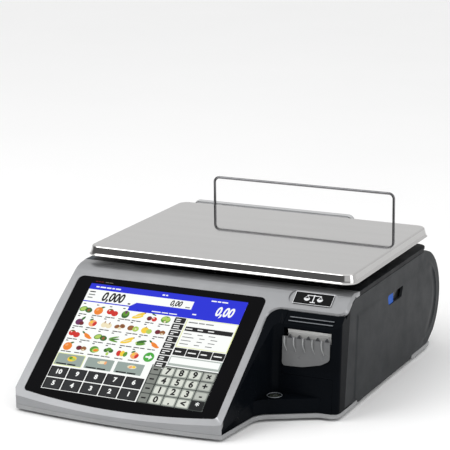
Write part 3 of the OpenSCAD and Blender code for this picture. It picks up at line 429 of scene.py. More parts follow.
# ---- platter
def platter():
    """Stainless platter: flat top, tight bend, flared lip with a turned edge."""
    x, y, top = 3.5, 64.4, 188.0
    w, d, corner = 407.0, 297.0, 14.0
    thick, bend = 1.2, 3.2
    turn = (-2.2, top - bend)
    flat = -10.0

    def bent(r):
        return arc(*turn, r, 90, 19, 6)

    # The section, as how far each point stands out from the plan, and its height
    outside = [(flat, top)] + bent(bend) + [
        (1.6, 182.6), (2.3, 180.0), (2.9, 177.9), (3.6, 176.4), (4.4, 175.4), (4.95, 175.0), (4.9, 174.55)]
    inside = [(4.2, 174.6), (3.2, 175.1), (2.2, 176.4), (1.6, 178.1), (1.0, 180.3), (0.3, 182.8)]
    inside += bent(bend - thick)[::-1] + [(flat, top - thick)]
    rings = []
    for g, z in outside + inside:
        plan = rounded_rectangle(x - w / 2 - g, y - d / 2 - g, x + w / 2 + g, y + d / 2 + g, corner + g, 10)
        rings.append([(px, py, z) for px, py in plan])
    bm = bmesh.new()
    loft(bm, rings)
    return weigh(finished("platter_sheet", bm, STEEL, "platter", "platter", angle=60))


# ---- screen frames
def bezel():
    """Silver bezel with a chamfered rim, and softened openings and seams."""
    bm = reworked("front_bezel")
    to_face = FACE.inverted() @ ROW

    def rim(e):
        """Edges between the shown face and the skirt or the nose."""
        a, b = to_face @ e.verts[0].co, to_face @ e.verts[1].co
        roll = max(a.y, b.y) > ROLL_V + 1
        on_top = min(a.z, b.z) > -0.05 or (roll and min(e.verts[0].co.z, e.verts[1].co.z) > 152)
        in_glass = all(abs(p.x) < 149 and -118 < p.y < 106 for p in (a, b))
        in_badge = all(abs(p.x - BADGE_AT[0]) < 37.5 and abs(p.y - BADGE_AT[1]) < 16 for p in (a, b))
        at_back = max(e.verts[0].co.y, e.verts[1].co.y) > BEZEL_BACK - 0.05
        at_nose = min(a.y, b.y) < -96
        return on_top and not (in_glass or in_badge or at_back or at_nose)

    rounded(bm, rim, 2.6, 1, False)
    rounded(bm, lambda e: e.calc_face_angle(0) > math.radians(28), 0.5, 3)
    return weigh(finished("screen_bezel", bm, SILVER, "chassis", "front_bezel", angle=24))


def display_frame():
    """Customer screen's frame with a soft outer edge."""
    bm = reworked("display_bezel")
    to_display = DISPLAY.inverted() @ ROW

    def outer(e):
        """Edges round the outside of the frame's front."""
        return all(p.z > -0.05 and (abs(p.x) > 131.5 or p.y > -11 or p.y < -159)
                   for p in (to_display @ v.co for v in e.verts))

    rounded(bm, outer, 3.6, 4, False)
    rounded(bm, lambda e: e.calc_face_angle(0) > math.radians(40), 0.4, 2)
    return weigh(finished("display_frame", bm, SCREEN_SILVER, "chassis", "display_bezel", angle=30))


# ---- side panel
def blend(x, low, high):
    """Smooth step from 0 at low to 1 at high."""
    t = min(max((x - low) / (high - low), 0), 1)
    return t * t * (3 - 2 * t)


def relief(y, z):
    """Depth of the panel's face behind its field: the border and the scooped grip."""
    border, grip = 0.9, 2.1
    r = math.hypot(y - DRUM_Y, z - DRUM_Z)
    angle = math.degrees(math.atan2(z - DRUM_Z, y - DRUM_Y))
    behind = y > DRUM_Y
    front = blend(y, -91.5 + 0.099 * z, -88.0 + 0.099 * z)
    top = 1 - blend(z, 128, 133) * (1 - 0.7 * blend(y, -40, 40))
    rear = 1 - blend(r, 60, 62.5) if behind else 1
    along = min(blend(angle, -84, -40), 1 - blend(angle, 30, 62))
    scoop = (1 - blend(r, 57.5, 61)) * blend(r, 40, 57) * along if behind else 0
    return border * (1 - front * top * rear) + grip * scoop


def in_window(co):
    """Whether a vertex belongs to the panel's window."""
    return 28 < co.y < 102 and 108 < co.z < 136


def outline(bm, level, hole):
    """Ordered outline, in y and z, of the window or of the panel at one depth."""
    near = [e for e in bm.edges
            if all(abs(v.co.x - level) < 0.02 and in_window(v.co) == hole for v in e.verts)
            and any(abs(f.normal.x) < 0.5 for f in e.link_faces)]
    links = {}
    for e in near:
        for v in e.verts:
            links.setdefault(v, []).append(e)
    start = max(links, key=lambda v: abs(v.co.y - WINDOW_Y))
    ring, edge, v = [], None, start
    while True:
        ring.append((v.co.y, v.co.z))
        edge = next(e for e in links[v] if e is not edge)
        v = edge.other_vert(v)
        if v is start:
            return ring


def within(ring, y, z):
    """Whether a point lies inside a closed outline."""
    odd = False
    for (y0, z0), (y1, z1) in zip(ring, ring[1:] + ring[:1]):
        if (z0 > z) != (z1 > z) and y < (y1 - y0) * (z - z0) / (z1 - z0) + y0:
            odd = not odd
    return odd


def clear_of(rings, y, z, gap=1.6):
    """Whether a point keeps a gap from every outline."""
    here = Vector((y, z))
    for ring in rings:
        for a, b in zip(ring, ring[1:] + ring[:1]):
            a, b = Vector(a), Vector(b)
            near, t = intersect_point_line(here, a, b)
            near = a if t < 0 else b if t > 1 else near.to_2d()
            if (near - here).length < gap:
                return False
    return True


def panel_grid():
    """Points in y and z, closer together where the face is curved."""
    fine, coarse, rise = 2.2, 8.0, 2.5
    y, bottom, rear = -124.0, 7.0, 258.0
    while y < rear:
        curved = y < -72 or y > DRUM_Y
        for k in range(60):
            z = bottom + k * rise
            if curved or k % 3 == 0 or z > 125:
                yield y, z
        y += fine if curved else coarse


def side_panel():
    """Side panel with a softly raised field and a scooped grip along its round rear end."""
    source = reworked("side_panel")
    back = SIDE_X - PANEL_T
    rim, hole = outline(source, back, False), outline(source, back, True)
    source.free()

    def on_panel(y, z):
        return within(rim, y, z) and not within(hole, y, z)

    points = [Vector(q) for q in rim + hole]
    points += [Vector(q) for q in panel_grid() if clear_of((rim, hole), *q) and on_panel(*q)]
    n, m = len(rim), len(hole)
    edges = [(i, (i + 1) % n) for i in range(n)] + [(n + i, n + (i + 1) % m) for i in range(m)]
    verts, _, faces, _, _, _ = delaunay_2d_cdt(points, edges, [], 0, 0.001)
    bm = bmesh.new()
    front = [bm.verts.new((SIDE_X - relief(q.x, q.y), q.x, q.y)) for q in verts]
    rear = [bm.verts.new((back, q.x, q.y)) for q in verts]
    sides = {}
    for f in faces:
        if on_panel(sum(verts[i].x for i in f) / len(f), sum(verts[i].y for i in f) / len(f)):
            bm.faces.new([front[i] for i in f])
            bm.faces.new([rear[i] for i in f[::-1]])
            sides.update(dict.fromkeys(zip(f, list(f[1:]) + [f[0]])))
    for a, b in sides:
        if (b, a) not in sides:
            bm.faces.new((front[b], front[a], rear[a], rear[b]))
    bmesh.ops.delete(bm, geom=[v for v in bm.verts if not v.link_faces], context="VERTS")
    bmesh.ops.recalc_face_normals(bm, faces=bm.faces)

    def crisp(e):
        """Edges round the shown side."""
        return e.calc_face_angle(0) >= math.radians(50) and all(v.co.x > back + 0.1 for v in e.verts)

    rounded(bm, crisp, 0.7, 2)
    for y, z in ((-100, 30), (-20, 120), (20, 40), (120, 140), (120, 24), (230, 81)):
        boss = arc(y, z, 4, 0, 345, 23)
        loft(bm, [[(x, a, b) for a, b in boss] for x in (206.0, back - 0.02)])
    return weigh(finished("grip_panel", bm, PANEL, "cassette", "side_panel", angle=40))


# ---- pictures
class Picture:
    """Flat coloured shapes stacked in thin layers on a surface, all in one piece."""

    LAYER = 0.045

    def __init__(self, floor):
        self.bm = bmesh.new()
        self.mats = []
        self.floor = floor

    def slot(self, mat):
        """Index of a material in the piece."""
        if mat not in self.mats:
            self.mats.append(mat)
        return self.mats.index(mat)

    def shape(self, points, mat, layer):
        prism(self.bm, points, self.floor, self.floor + self.LAYER * (layer + 1), self.slot(mat))

    def bar(self, x0, y0, x1, y1, mat, layer, r=0.0):
        self.shape(rounded_rectangle(x0, y0, x1, y1, r, 3) if r else box(x0, y0, x1, y1), mat, layer)

    def dots(self, x, y, spots, layer, size):
        """Ellipses (colour, x, y, half width, half height and any turn), each one a little higher."""
        for i, (name, cx, cy, rx, ry, *turn) in enumerate(spots):
            spot = ellipse(x + cx * size, y + cy * size, rx * size, ry * size, *turn, n=16)
            self.shape(spot, ink(*PALETTE[name]), layer + i * 0.25)

    def digits(self, text, x, y, height, mat, layer, lean=0.0, squeeze=1.0, bold=0.03):
        """Figures in the built-in font, centred on a point."""
        capital = 0.7
        curve = bpy.data.curves.new("figures", "FONT")
        curve.body, curve.size, curve.shear = text, height / capital, lean
        curve.align_x, curve.align_y = "CENTER", "CENTER"
        curve.resolution_u = 3
        curve.offset = bold * height
        curve.extrude = self.LAYER * (layer + 1) / 2
        o = bpy.data.objects.new("figures", curve)
        bm = bmesh.new()
        bm.from_mesh(o.to_mesh())
        o.to_mesh_clear()
        bpy.data.objects.remove(o)
        bpy.data.curves.remove(curve)
        bmesh.ops.scale(bm, vec=(squeeze, 1, 1), verts=bm.verts)
        bmesh.ops.remove_doubles(bm, verts=bm.verts, dist=1e-5)
        middle = self.floor + self.LAYER * (layer + 1) / 2
        index = self.slot(mat)
        made = {v: self.bm.verts.new((v.co.x + x, v.co.y + y, v.co.z + middle)) for v in bm.verts}
        for f in bm.faces:
            try:
                self.bm.faces.new([made[v] for v in f.verts]).material_index = index
            except ValueError:
                continue
        bm.free()

    def finish(self, name, matrix, body, *nodes):
        to_metres(self.bm, matrix)
        return piece(name, self.bm, self.mats, body, *nodes)


# ---- seller screen
PALETTE = {
    "green": (92, 148, 44), "leaf": (54, 104, 40), "lime": (176, 206, 96), "yellow": (244, 206, 62),
    "orange": (238, 132, 40), "red": (206, 44, 36), "wine": (110, 26, 40), "plum": (104, 44, 92),
    "brown": (146, 92, 48), "cream": (238, 226, 190), "peach": (244, 168, 112), "shine": (255, 244, 226),
    "dark": (40, 30, 24),
}
AVOCADO = (("green", -3, 0, 4.6, 3.2, 20), ("lime", -3, 0, 3.5, 2.2, 20), ("leaf", 3.6, -1, 4.2, 3.3, -15),
           ("brown", 3.6, -1, 1.7, 1.7))
ORANGE = (("leaf", 2.5, 4.4, 2.6, 1.1, 25), ("orange", -0.5, -0.5, 5, 5), ("peach", -2, 1, 1.8, 1.3, 40))
TOMATO = (("red", -2.6, 0.6, 4, 3.6), ("red", 3.2, -1.2, 3.8, 3.4), ("leaf", -2.6, 3.2, 2.2, 0.7),
          ("shine", -3.8, 1.6, 0.9, 0.6, 30))
ARTICHOKE = (("leaf", 0, -0.5, 4.4, 4.8), ("green", -1.6, 0.5, 1.8, 3, 25),
             ("green", 1.8, 0.5, 1.8, 3, -25), ("plum", 0, 2.4, 1.2, 2))
BANANAS = (("yellow", -1, -1.2, 6.4, 2.2, 18), ("yellow", 1, 1.6, 6, 2, 30), ("brown", 5.8, 4.4, 0.9, 0.7),
           ("cream", -1, -0.6, 4.2, 0.6, 20))
CHERRIES = (("leaf", 0.5, 4, 3, 0.8, -20), ("wine", -2.8, -1.4, 2.9, 2.8), ("red", 3, -1.8, 2.9, 2.8),
            ("shine", 2, -0.8, 0.8, 0.6))
LETTUCE = (("green", 0, -0.4, 5.4, 4.4), ("lime", -1.8, 1, 2.8, 2.2, 30), ("lime", 2.4, 0.2, 2.4, 2.6, -20),
           ("cream", 0, -3.2, 1.2, 1.4))
BEET = (("leaf", 2.2, 3.8, 1.4, 3.2, -30), ("plum", -0.8, -1, 4.2, 3.9), ("wine", 2.6, -2.4, 2.6, 2.4))
PEACH = (("leaf", -3.4, 3.8, 2.4, 1, 30), ("peach", -0.6, -0.6, 4.6, 4.2), ("red", 2, -1, 2, 3, -20),
         ("yellow", -2.4, 0.8, 1.4, 1.6))
GARLIC = (("cream", -2.6, -0.6, 3.4, 3.4), ("cream", 3, -1, 3.4, 3.2), ("brown", -2.6, 2.8, 0.6, 1.6),
          ("brown", 3, 2.2, 0.6, 1.6))
NUTS = (("brown", -3, -0.6, 3, 2.4, 20), ("brown", 2.8, 0.8, 3.2, 2.5, -25), ("cream", 0.6, -2.6, 2.2, 1.5),
        ("dark", 2.8, 0.8, 2.2, 0.3, -25))
KIWI = (("brown", -2.8, 0, 3.8, 3.3, 10), ("lime", 3, -0.6, 3.6, 3.4), ("cream", 3, -0.6, 1.1, 1),
        ("dark", 3, 1, 0.5, 0.4))
QUINCE = (("yellow", -1.8, -0.6, 4.2, 4), ("lime", 3.2, -1.4, 3.2, 3), ("brown", -1.8, 3.2, 0.5, 1.2))
CARROT = (("leaf", -5, 2.6, 2.8, 1, -35), ("orange", -0.4, 0, 4.8, 1.6, -25),
          ("orange", 1.2, -2.2, 4.6, 1.5, -20), ("orange", 4.4, -2.4, 2.2, 0.7, -25))
BEANS = (("green", -0.6, 1.4, 5.8, 1, 20), ("leaf", 0.6, -0.6, 5.8, 1, 10), ("green", 0, -2.6, 5.6, 1, -8))
COURGETTE = (("leaf", 0, 0.8, 6, 1.9, 18), ("green", 0.4, -2, 5.4, 1.6, 12), ("lime", -5, -1.2, 1, 1))
MELON = (("green", -0.6, 0, 5, 4.2), ("lime", 1.2, -0.8, 4, 2.8, 10), ("orange", 1.4, -0.8, 2.8, 1.6, 10))
BROCCOLI = (("lime", 0, -3, 1.6, 2.2), ("leaf", -2.8, 1, 2.7, 2.4), ("leaf", 2.8, 1, 2.7, 2.4),
            ("green", 0, 2.6, 3, 2.2))
PEPPERS = (("red", -3, -0.4, 2.8, 3.6, 10), ("yellow", 1, -0.2, 2.6, 3.6),
           ("green", 4.4, -0.6, 2.2, 3.2, -10))
CHESTNUTS = (("wine", -2.6, -0.6, 3.2, 2.8), ("brown", 2.8, -0.8, 3.2, 2.8),
             ("cream", 2.8, -2.4, 1.6, 0.8))
PRODUCE = (
    AVOCADO, ORANGE, TOMATO, ARTICHOKE, BANANAS, CHERRIES, LETTUCE,
    BEET, PEACH, GARLIC, NUTS, KIWI, QUINCE, CHESTNUTS,
    TOMATO, CARROT, AVOCADO, BEANS, BANANAS, COURGETTE, CARROT,
    ORANGE, CHESTNUTS, MELON, BROCCOLI, PEPPERS, PEACH,
)
FRUIT_GROUP = (("yellow", 0, 0, 7, 4.6, 10), ("green", -2, 1, 3, 2.4), ("lime", 2.6, -0.6, 3, 2.2))
FISH_GROUP = (("cream", 0, 1, 7, 2.6, 6), ("dark", -4.4, 1.2, 0.7, 0.7), ("peach", 5.6, 1, 1.8, 2.8))
BREAD_GROUP = (("cream", 0, 0.6, 7, 3), ("peach", -2, 0.2, 2.6, 1.8, 20), ("yellow", 3, 1, 2.6, 1.8))
WHITE, BLACK, GREY = ink(250, 252, 250), ink(12, 13, 14), ink(120, 124, 122)
BLUE, PALE, KEY = ink(24, 38, 214), ink(232, 238, 176), ink(158, 164, 156)


class SellerScreen(Picture):
    """The seller's lit screen, laid out in fractions of its width and height from its upper left."""

    def at(self, u, v):
        return -LIT_W / 2 + LIT_W * u, LIT_H / 2 - LIT_H * v

    def field(self, u0, v0, u1, v1, mat, layer, gap=0.0, r=0.0):
        """A filled rectangle, gap millimetres inside its place and with corners of radius r."""
        (x0, y1), (x1, y0) = self.at(u0, v0), self.at(u1, v1)
        self.bar(x0 + gap, y0 + gap, x1 - gap, y1 - gap, mat, layer, r)

    def strokes(self, u, v, widths, mat, layer, height=1.5, gap=1.6):
        """A row of short bars where the object has words."""
        x, y = self.at(u, v)
        for w in widths:
            self.bar(x, y - height / 2, x + w, y + height / 2, mat, layer)
            x += w + gap


def heading(art):
    """White ground and blue heading, then weight, price by weight and price."""
    art.field(0, 0, 1, 1, WHITE, 0)
    art.field(0, 0, 1, 0.055, BLUE, 1)
    art.strokes(0.04, 0.028, (5, 9, 7, 4, 8), WHITE, 2, 2.2)
    art.strokes(0.47, 0.028, (4, 3), WHITE, 2, 2.2)
    art.strokes(0.78, 0.028, (8, 5, 9), WHITE, 2, 2.0)
    art.digits("0,000", *art.at(0.175, 0.115), 15, BLACK, 1, 0.2, 0.72, 0.05)
    for k, w in enumerate((9, 10, 8)):
        art.strokes(0.015, 0.078 + k * 0.028, (w,), GREY if k else BLACK, 1, 1.8)
    art.strokes(0.283, 0.15, (4,), BLACK, 1, 2.4)
    stepped = ((0.3, 0.21), (1, 0.21), (1, 0.055), (0.68, 0.055), (0.68, 0.13), (0.335, 0.13), (0.3, 0.17))
    art.shape([art.at(u, v) for u, v in stepped], BLUE, 1)
    art.digits("0,00", *art.at(0.575, 0.094), 9, BLACK, 1, 0.2, 0.8, 0.05)
    art.strokes(0.64, 0.115, (7,), GREY, 1, 1.8)
    art.digits("0,00", *art.at(0.885, 0.12), 15, WHITE, 2, 0.2, 0.72, 0.05)
    art.strokes(0.70, 0.17, (6,), WHITE, 2, 2.0)
    art.strokes(0.45, 0.19, (14, 10, 12), WHITE, 2, 1.6)
    art.field(0, 0.166, 0.30, 0.176, BLUE, 1)


def product_keys(art):
    """Keys with a number, a picture and a caption bar, and a green arrow key in the last place."""
    columns, wide, high, top, middle = 7, 0.6 / 7, 0.118, 0.185, 0.062
    for k, spots in enumerate(PRODUCE):
        row, column = divmod(k, columns)
        u, v = column * wide, top + row * high
        art.dots(*art.at(u + wide / 2, v + middle), spots, 1, 1.36)
        art.strokes(u + 0.012, v + 0.012, (3.6,), BLACK, 1)
        art.strokes(u + 0.012, v + 0.112, (6 + k * 5 % 4, 5 + k * 3 % 5), BLACK, 1, 1.4, 0.9)
    x, y = art.at((columns - 0.5) * wide, top + 3 * high + middle)
    art.shape(ellipse(x, y, 8, 8, 0, 24), ink(70, 168, 58), 1)
    arrow = ((-5, -1.4), (0.6, -1.4), (0.6, -4.2), (5.4, 0), (0.6, 4.2), (0.6, 1.4), (-5, 1.4))
    art.shape([(x + dx, y + dy) for dx, dy in arrow], WHITE, 2)


def group_keys(art):
    """Three wide keys, each with a picture on a grey ground."""
    top, bottom, pitch, wide = 0.665, 0.785, 0.19, 0.185
    for k, spots in enumerate((FRUIT_GROUP, FISH_GROUP, BREAD_GROUP)):
        u = k * pitch
        art.field(u, top, u + wide, bottom, WHITE if k else PALE, 1, 0.6, 1.5)
        art.field(u, top, u + wide, bottom, ink(150, 164, 158), 2, 1.8, 1.2)
        art.dots(*art.at(u + 0.105, 0.712), spots, 3, 1.0)
        art.strokes(u + 0.02, 0.765, (16, 13), BLACK, 3, 2.2)


def number_keys(art):
    """Ten black keys, numbered backwards."""
    columns, wide, high, top, edge = 5, 0.119, 0.105, 0.79, 0.012
    art.field(0, top, columns * wide, 1, WHITE, 1)
    for k in range(10):
        row, column = divmod(k, columns)
        u, v = column * wide, top + row * high
        art.field(u, v, u + wide, v + high, BLACK, 2, 0.75, 1.0)
        art.field(u + edge, v + edge, u + wide - edge, v + high - edge, ink(34, 36, 38), 3, 0, 1.0)
        art.digits(str(10 - k), *art.at(u + 0.062, v + 0.05), 7.0, WHITE, 4, bold=0.06)


def function_keys(art):
    """Column of black keys with bars for words."""
    top, pitch, high = 0.212, 0.0588, 0.0565
    art.field(0.605, 0.21, 0.682, 0.685, WHITE, 1)
    for k in range(8):
        v = top + k * pitch
        art.field(0.608, v, 0.680, v + high, BLACK, 2, 0.4, 1.0)
        art.strokes(0.62, v + 0.02, (7 + k % 3 * 2,), WHITE, 3)
        art.strokes(0.62, v + 0.038, (5 + (k + 1) % 3 * 2,), WHITE, 3)


def ticket(art):
    """Ticket with its rows of goods, four keys under it and an entry field."""
    left, text = 0.684, 0.70
    art.field(left, 0.212, 1, 0.476, PALE, 1)
    art.field(0.690, 0.218, 0.994, 0.470, WHITE, 2)
    art.strokes(text, 0.245, (14, 9, 12), GREY, 3, 1.8)
    art.field(0.696, 0.285, 0.988, 0.325, BLACK, 3)
    art.strokes(text, 0.305, (10, 8, 9), WHITE, 4, 1.6, 8)
    for k in range(4):
        art.strokes(text, 0.350 + k * 0.031, (12 + k * 5 % 7, 8, 10), GREY, 3, 1.3, 9)
    for k in range(4):
        u = left + k * 0.079
        art.field(u, 0.479, u + 0.079, 0.553, BLACK, 1, 0.5, 1.0)
        art.strokes(u + 0.012, 0.516, (9 + k % 2 * 3,), WHITE, 2, 1.8)
    art.field(left, 0.56, 1, 0.645, ink(172, 182, 176), 1)
    art.field(0.69, 0.57, 0.99, 0.625, WHITE, 2)


def keypad(art):
    """Column of grey keys, then digits, signs in the last column and one black key."""
    left, top, wide, high = 0.666, 0.66, 0.0832, 0.0845
    art.field(0.6, 0.655, 1, 1, ink(60, 66, 62), 1)
    for k in range(4):
        v = top + k * high
        art.field(0.605, v, 0.662, v + 0.081, ink(128, 132, 126), 2, 0.5, 1.0)
        art.strokes(0.618, v + 0.04, (7,), BLACK, 3, 2.4)
    for row, line in enumerate(("789×", "456+", "123-", "0.<*")):
        for column, figure in enumerate(line):
            u, v = left + column * wide, top + row * high
            dark, sign = figure == "*", column == 3
            tone = BLACK if dark else ink(146, 150, 144) if sign else KEY
            art.field(u, v, u + wide, v + high, tone, 2, 0.6, 1.4)
            if not dark:
                cap = ink(186, 190, 182) if sign else ink(218, 222, 212)
                art.field(u, v, u + wide, v + high, cap, 3, 2.2, 2.0)
            art.digits(figure, *art.at(u + wide / 2, v + 0.043), 9.5, WHITE if dark else BLACK, 4,
                        bold=0.02 if dark else 0.06)


def glass_marks(art):
    """Faint marks between the lit area and the glass's upper edge."""
    art.strokes(0.02, -0.022, (4, 3, 4), ink(120, 20, 20), 0, 0.9, 1.0)
    art.strokes(0.085, -0.022, (5, 6), ink(120, 116, 104), 0, 0.9, 1.0)


def seller_screen():
    """The seller's lit screen in one piece."""
    art = SellerScreen(GLASS_TOP)
    for draw in (heading, product_keys, group_keys, number_keys, function_keys, ticket, keypad,
                 glass_marks):
        draw(art)
    return art.finish("seller_picture", FACE, "chassis")


# ---- customer screen
LIT_BOX = (-92.5, -135.0, 92.5, -22.0)
PRICE_BAR_H = 20.0
GRAPES = ((-44, -54), (-30, -50), (-18, -60), (-36, -68), (-22, -74), (-8, -70), (-48, -72), (-28, -86),
          (-12, -86), (0, -80), (-18, -98), (-2, -96), (-4, -56), (8, -66), (60, -128), (76, -130))


def clipped(points, x0, y0, x1, y1):
    """Cuts an outline to a rectangle."""
    for axis, limit, sign in ((0, x0, 1), (0, x1, -1), (1, y0, 1), (1, y1, -1)):
        kept = []
        for a, b in zip(points, points[1:] + points[:1]):
            da, db = (a[axis] - limit) * sign, (b[axis] - limit) * sign
            if da >= 0:
                kept.append(a)
            if (da >= 0) != (db >= 0):
                t = da / (da - db)
                kept.append((a[0] + (b[0] - a[0]) * t, a[1] + (b[1] - a[1]) * t))
        points = kept
    return points


def orange_half(art):
    """Large orange in three tones, cut off at the screen's right edge."""
    for x, y, rx, ry, n, tone, layer in (
            (62, -104, 52, 38, 48, (232, 138, 22), 1), (58, -98, 38, 25, 40, (246, 164, 40), 2),
            (50, -90, 20, 11, 32, (250, 188, 84), 3)):
        art.shape(clipped(ellipse(x, y, rx, ry, -14, n), *LIT_BOX), ink(*tone), layer)


def grapes(art):
    """Red grapes in two tones with highlights, each a little higher than the last."""
    for i, (x, y) in enumerate(GRAPES):
        rise = i * 0.12
        shape = clipped(ellipse(x, y, 9.2, 9.2), *LIT_BOX)
        art.shape(shape, ink(150, 20, 34) if i % 2 else ink(176, 30, 40), 1.5 + rise)
        art.shape(ellipse(x - 2.6, y + 3, 2.4, 1.8, 30, 10), ink(236, 150, 150), 1.8 + rise)


def bananas(art):
    """Crescents between an arc and a flatter curve, and the tip of another one."""
    x0, y0, x1, y1 = LIT_BOX
    n, bulge = 24, 44
    for i, (dx, dy, tone) in enumerate(((0, 0, (250, 214, 40)), (-13, -13, (238, 190, 26)),
                                        (-27, -25, (250, 206, 48)), (16, 2, (232, 178, 20)))):
        outer = arc(44 + dx, 8 + dy, 138, 186, 252, n)
        first, last = Vector(outer[0]), Vector(outer[-1])
        across = Vector((last.y - first.y, first.x - last.x)).normalized()
        inner = [last.lerp(first, k / n) + across * bulge * k * (n - k) / n ** 2 for k in range(1, n)]
        crescent = outer + [tuple(q) for q in inner]
        art.shape(clipped(crescent, x0, y0, x1, y1 - PRICE_BAR_H), ink(*tone), 3.6 + i * 0.25)
    art.shape(clipped(ellipse(-82, -46, 12, 7, -30), *LIT_BOX), ink(214, 176, 40), 4.8)


def card(art):
    """White card with plain bars and a red field."""
    art.shape([(18, -76), (88, -84), (88, -56), (18, -48)], ink(244, 244, 240), 4.8)
    art.shape([(50, -76.4), (84, -80.2), (84, -61.6), (50, -57.8)], ink(206, 30, 34), 5.2)
    art.shape([(22, -62), (46, -64.6), (46, -60), (22, -57.4)], ink(40, 70, 130), 5.2)
    art.shape([(22, -69), (46, -71.6), (46, -68), (22, -65.4)], ink(40, 70, 130), 5.2)


def price_bar(art):
    """Bar with weight and prices along the screen's upper edge."""
    x0, _, x1, top = LIT_BOX
    low, mid = top - PRICE_BAR_H, top - 9.5
    art.bar(x0, low, x1, top, ink(242, 242, 236), 5)
    art.bar(-40, low, x1, mid, ink(246, 214, 24), 5.4)
    art.bar(20, mid, x1, top, BLACK, 5.4)
    art.bar(58, low, x1, mid, ink(250, 222, 40), 5.6)
    art.digits("0,000", -62, top - 6.5, 8.4, BLACK, 5.8, 0.15, 0.9)
    art.digits("0,000", -62, top - 15.5, 4.4, GREY, 5.8, 0.15, 0.9)
    art.digits("0,00", 2, top - 5, 5.4, BLACK, 5.8, 0.1, 0.9)
    art.digits("0,00", 73, top - 5, 6.2, ink(244, 244, 240), 5.8, 0.1, 0.9)
    for x in (6, 16, 26):
        art.bar(x, top - 15.6, x + 8, top - 14, BLACK, 5.8)


def customer_screen():
    """The customer's lit screen: a price bar over a still life of fruit."""
    art = Picture(DISPLAY_GLASS)
    art.bar(*LIT_BOX, ink(96, 30, 18), 0)
    for draw in (orange_half, grapes, bananas, card, price_bar):
        draw(art)
    return art.finish("customer_picture", DISPLAY, "chassis")


# ---- badges and label
def balance_mark(art, x, y, size, mat):
    """Plain pair of scales: pillar, foot, beam and two pans."""
    art.bar(x - 0.05 * size, y - 0.42 * size, x + 0.05 * size, y + 0.44 * size, mat, 1)
    art.bar(x - 0.26 * size, y - 0.5 * size, x + 0.26 * size, y - 0.4 * size, mat, 1.2)
    art.bar(x - 0.72 * size, y + 0.3 * size, x + 0.72 * size, y + 0.38 * size, mat, 1.4)
    cords = ((-0.03, 0.3), (-0.26, -0.02), (-0.2, -0.02), (0, 0.26),
             (0.2, -0.02), (0.26, -0.02), (0.03, 0.3))
    for side in (-1, 1):
        cx = x + side * 0.66 * size
        art.shape([(cx + u * size, y + v * size) for u, v in cords], mat, 1.6)
        art.shape(arc(cx, y - 0.02 * size, 0.3 * size, 180, 360, 14), mat, 1.8)


def front_badge_mark():
    """A pair of scales in a thin frame on the front badge."""
    art = Picture(-0.04)
    w, h, line = 28.3, 10.3, 0.7
    for y in (-h, h - line):
        art.bar(-w, y, w, y + line, BADGE_WHITE, 1)
    for x in (-w, w - line):
        art.bar(x, -h, x + line, h, BADGE_WHITE, 1.2)
    balance_mark(art, 0, 0.3, 14.5, BADGE_WHITE)
    at = FACE @ Matrix.Translation((*BADGE_AT, BADGE_T - BADGE_FLOOR))
    return art.finish("front_badge_mark", at, "chassis")


def drum_badge_mark():
    """A pair of scales on the drum badge."""
    art = Picture(-0.45)
    art.LAYER = 0.35
    middle, angle = 172.5, 33.5
    balance_mark(art, 0, 0, 17, BADGE_WHITE)
    at = place((middle, *on_drum(DRUM_BADGE_R, angle)), (180, "Z"), (90 - angle, "X"))
    return art.finish("drum_badge_mark", at, "chassis")


def drum_badge_frame():
    """Thin frame that follows the drum round its badge."""
    left, right, low, high, wide, steps = 136.4, 208.6, 19.7, 47.8, 0.8, 12
    inner, outer = DRUM_BADGE_R - 0.2, DRUM_BADGE_R + 0.25
    bm = bmesh.new()
    for a, b in ((low - wide, low), (high, high + wide)):
        section = [on_drum(inner, a), on_drum(outer, a), on_drum(outer, b), on_drum(inner, b)]
        loft(bm, [[(x, y, z) for y, z in section] for x in (left, right)])
    for x in (left, right - 1):
        loft(bm, [[(x + dx, *on_drum(r, low + (high - low) * i / steps))
                   for dx, r in ((0, inner), (1, inner), (1, outer), (0, outer))] for i in range(steps + 1)])
    return finished("drum_badge_frame", bm, FRAME_GREY, "chassis")


def rating_label():
    """Pale label without lettering on the left side: bars, boxes and a green spot."""
    art = Picture(0.0)
    art.LAYER = 0.1
    art.bar(-50, -13, 50, 13, PLATE, 1.6, 1.0)
    for x in (-46, -34, 28, 41):
        art.bar(x, -9, x + 7, 4, LABEL_INK, 2.2)
        art.bar(x + 1, -8, x + 6, 3, PLATE, 2.5)
    for k, w in enumerate((28, 34, 22)):
        art.bar(-20, 4 - k * 5.5, -20 + w, 6 - k * 5.5, LABEL_INK, 2.2)
    art.bar(-46, 7, 46, 8.6, LABEL_INK, 2.2)
    art.shape(ellipse(20, -3, 3, 3.4), LABEL_GREEN, 2.5)
    at = place((-SIDE_X, 114, 21), (-90, "Z"), (90, "X"))
    return art.finish("rating_label", at, "chassis", "rating_plate")


# ---- printer trim
RIBS, RIB_PITCH = 5, 13.5


def painted_highlight_bars():
    """Two grey bars over the label pocket: painted highlights, standing in for light off the top edges of
    two dark ribs.
    """
    bm = bmesh.new()
    for v in (76.8, 70.3):
        loft(bm, [[(x, v + 1.2 + 0.9 * math.cos(t), -0.75 + 0.75 * math.sin(t))
                   for t in [math.tau * i / 12 for i in range(12)]] for x in (190.5, 255.0)])
    return finished("painted_highlight_bars", bm, TRIM_AND_HIGHLIGHT_GREY, "cassette", matrix=FACE, angle=50)


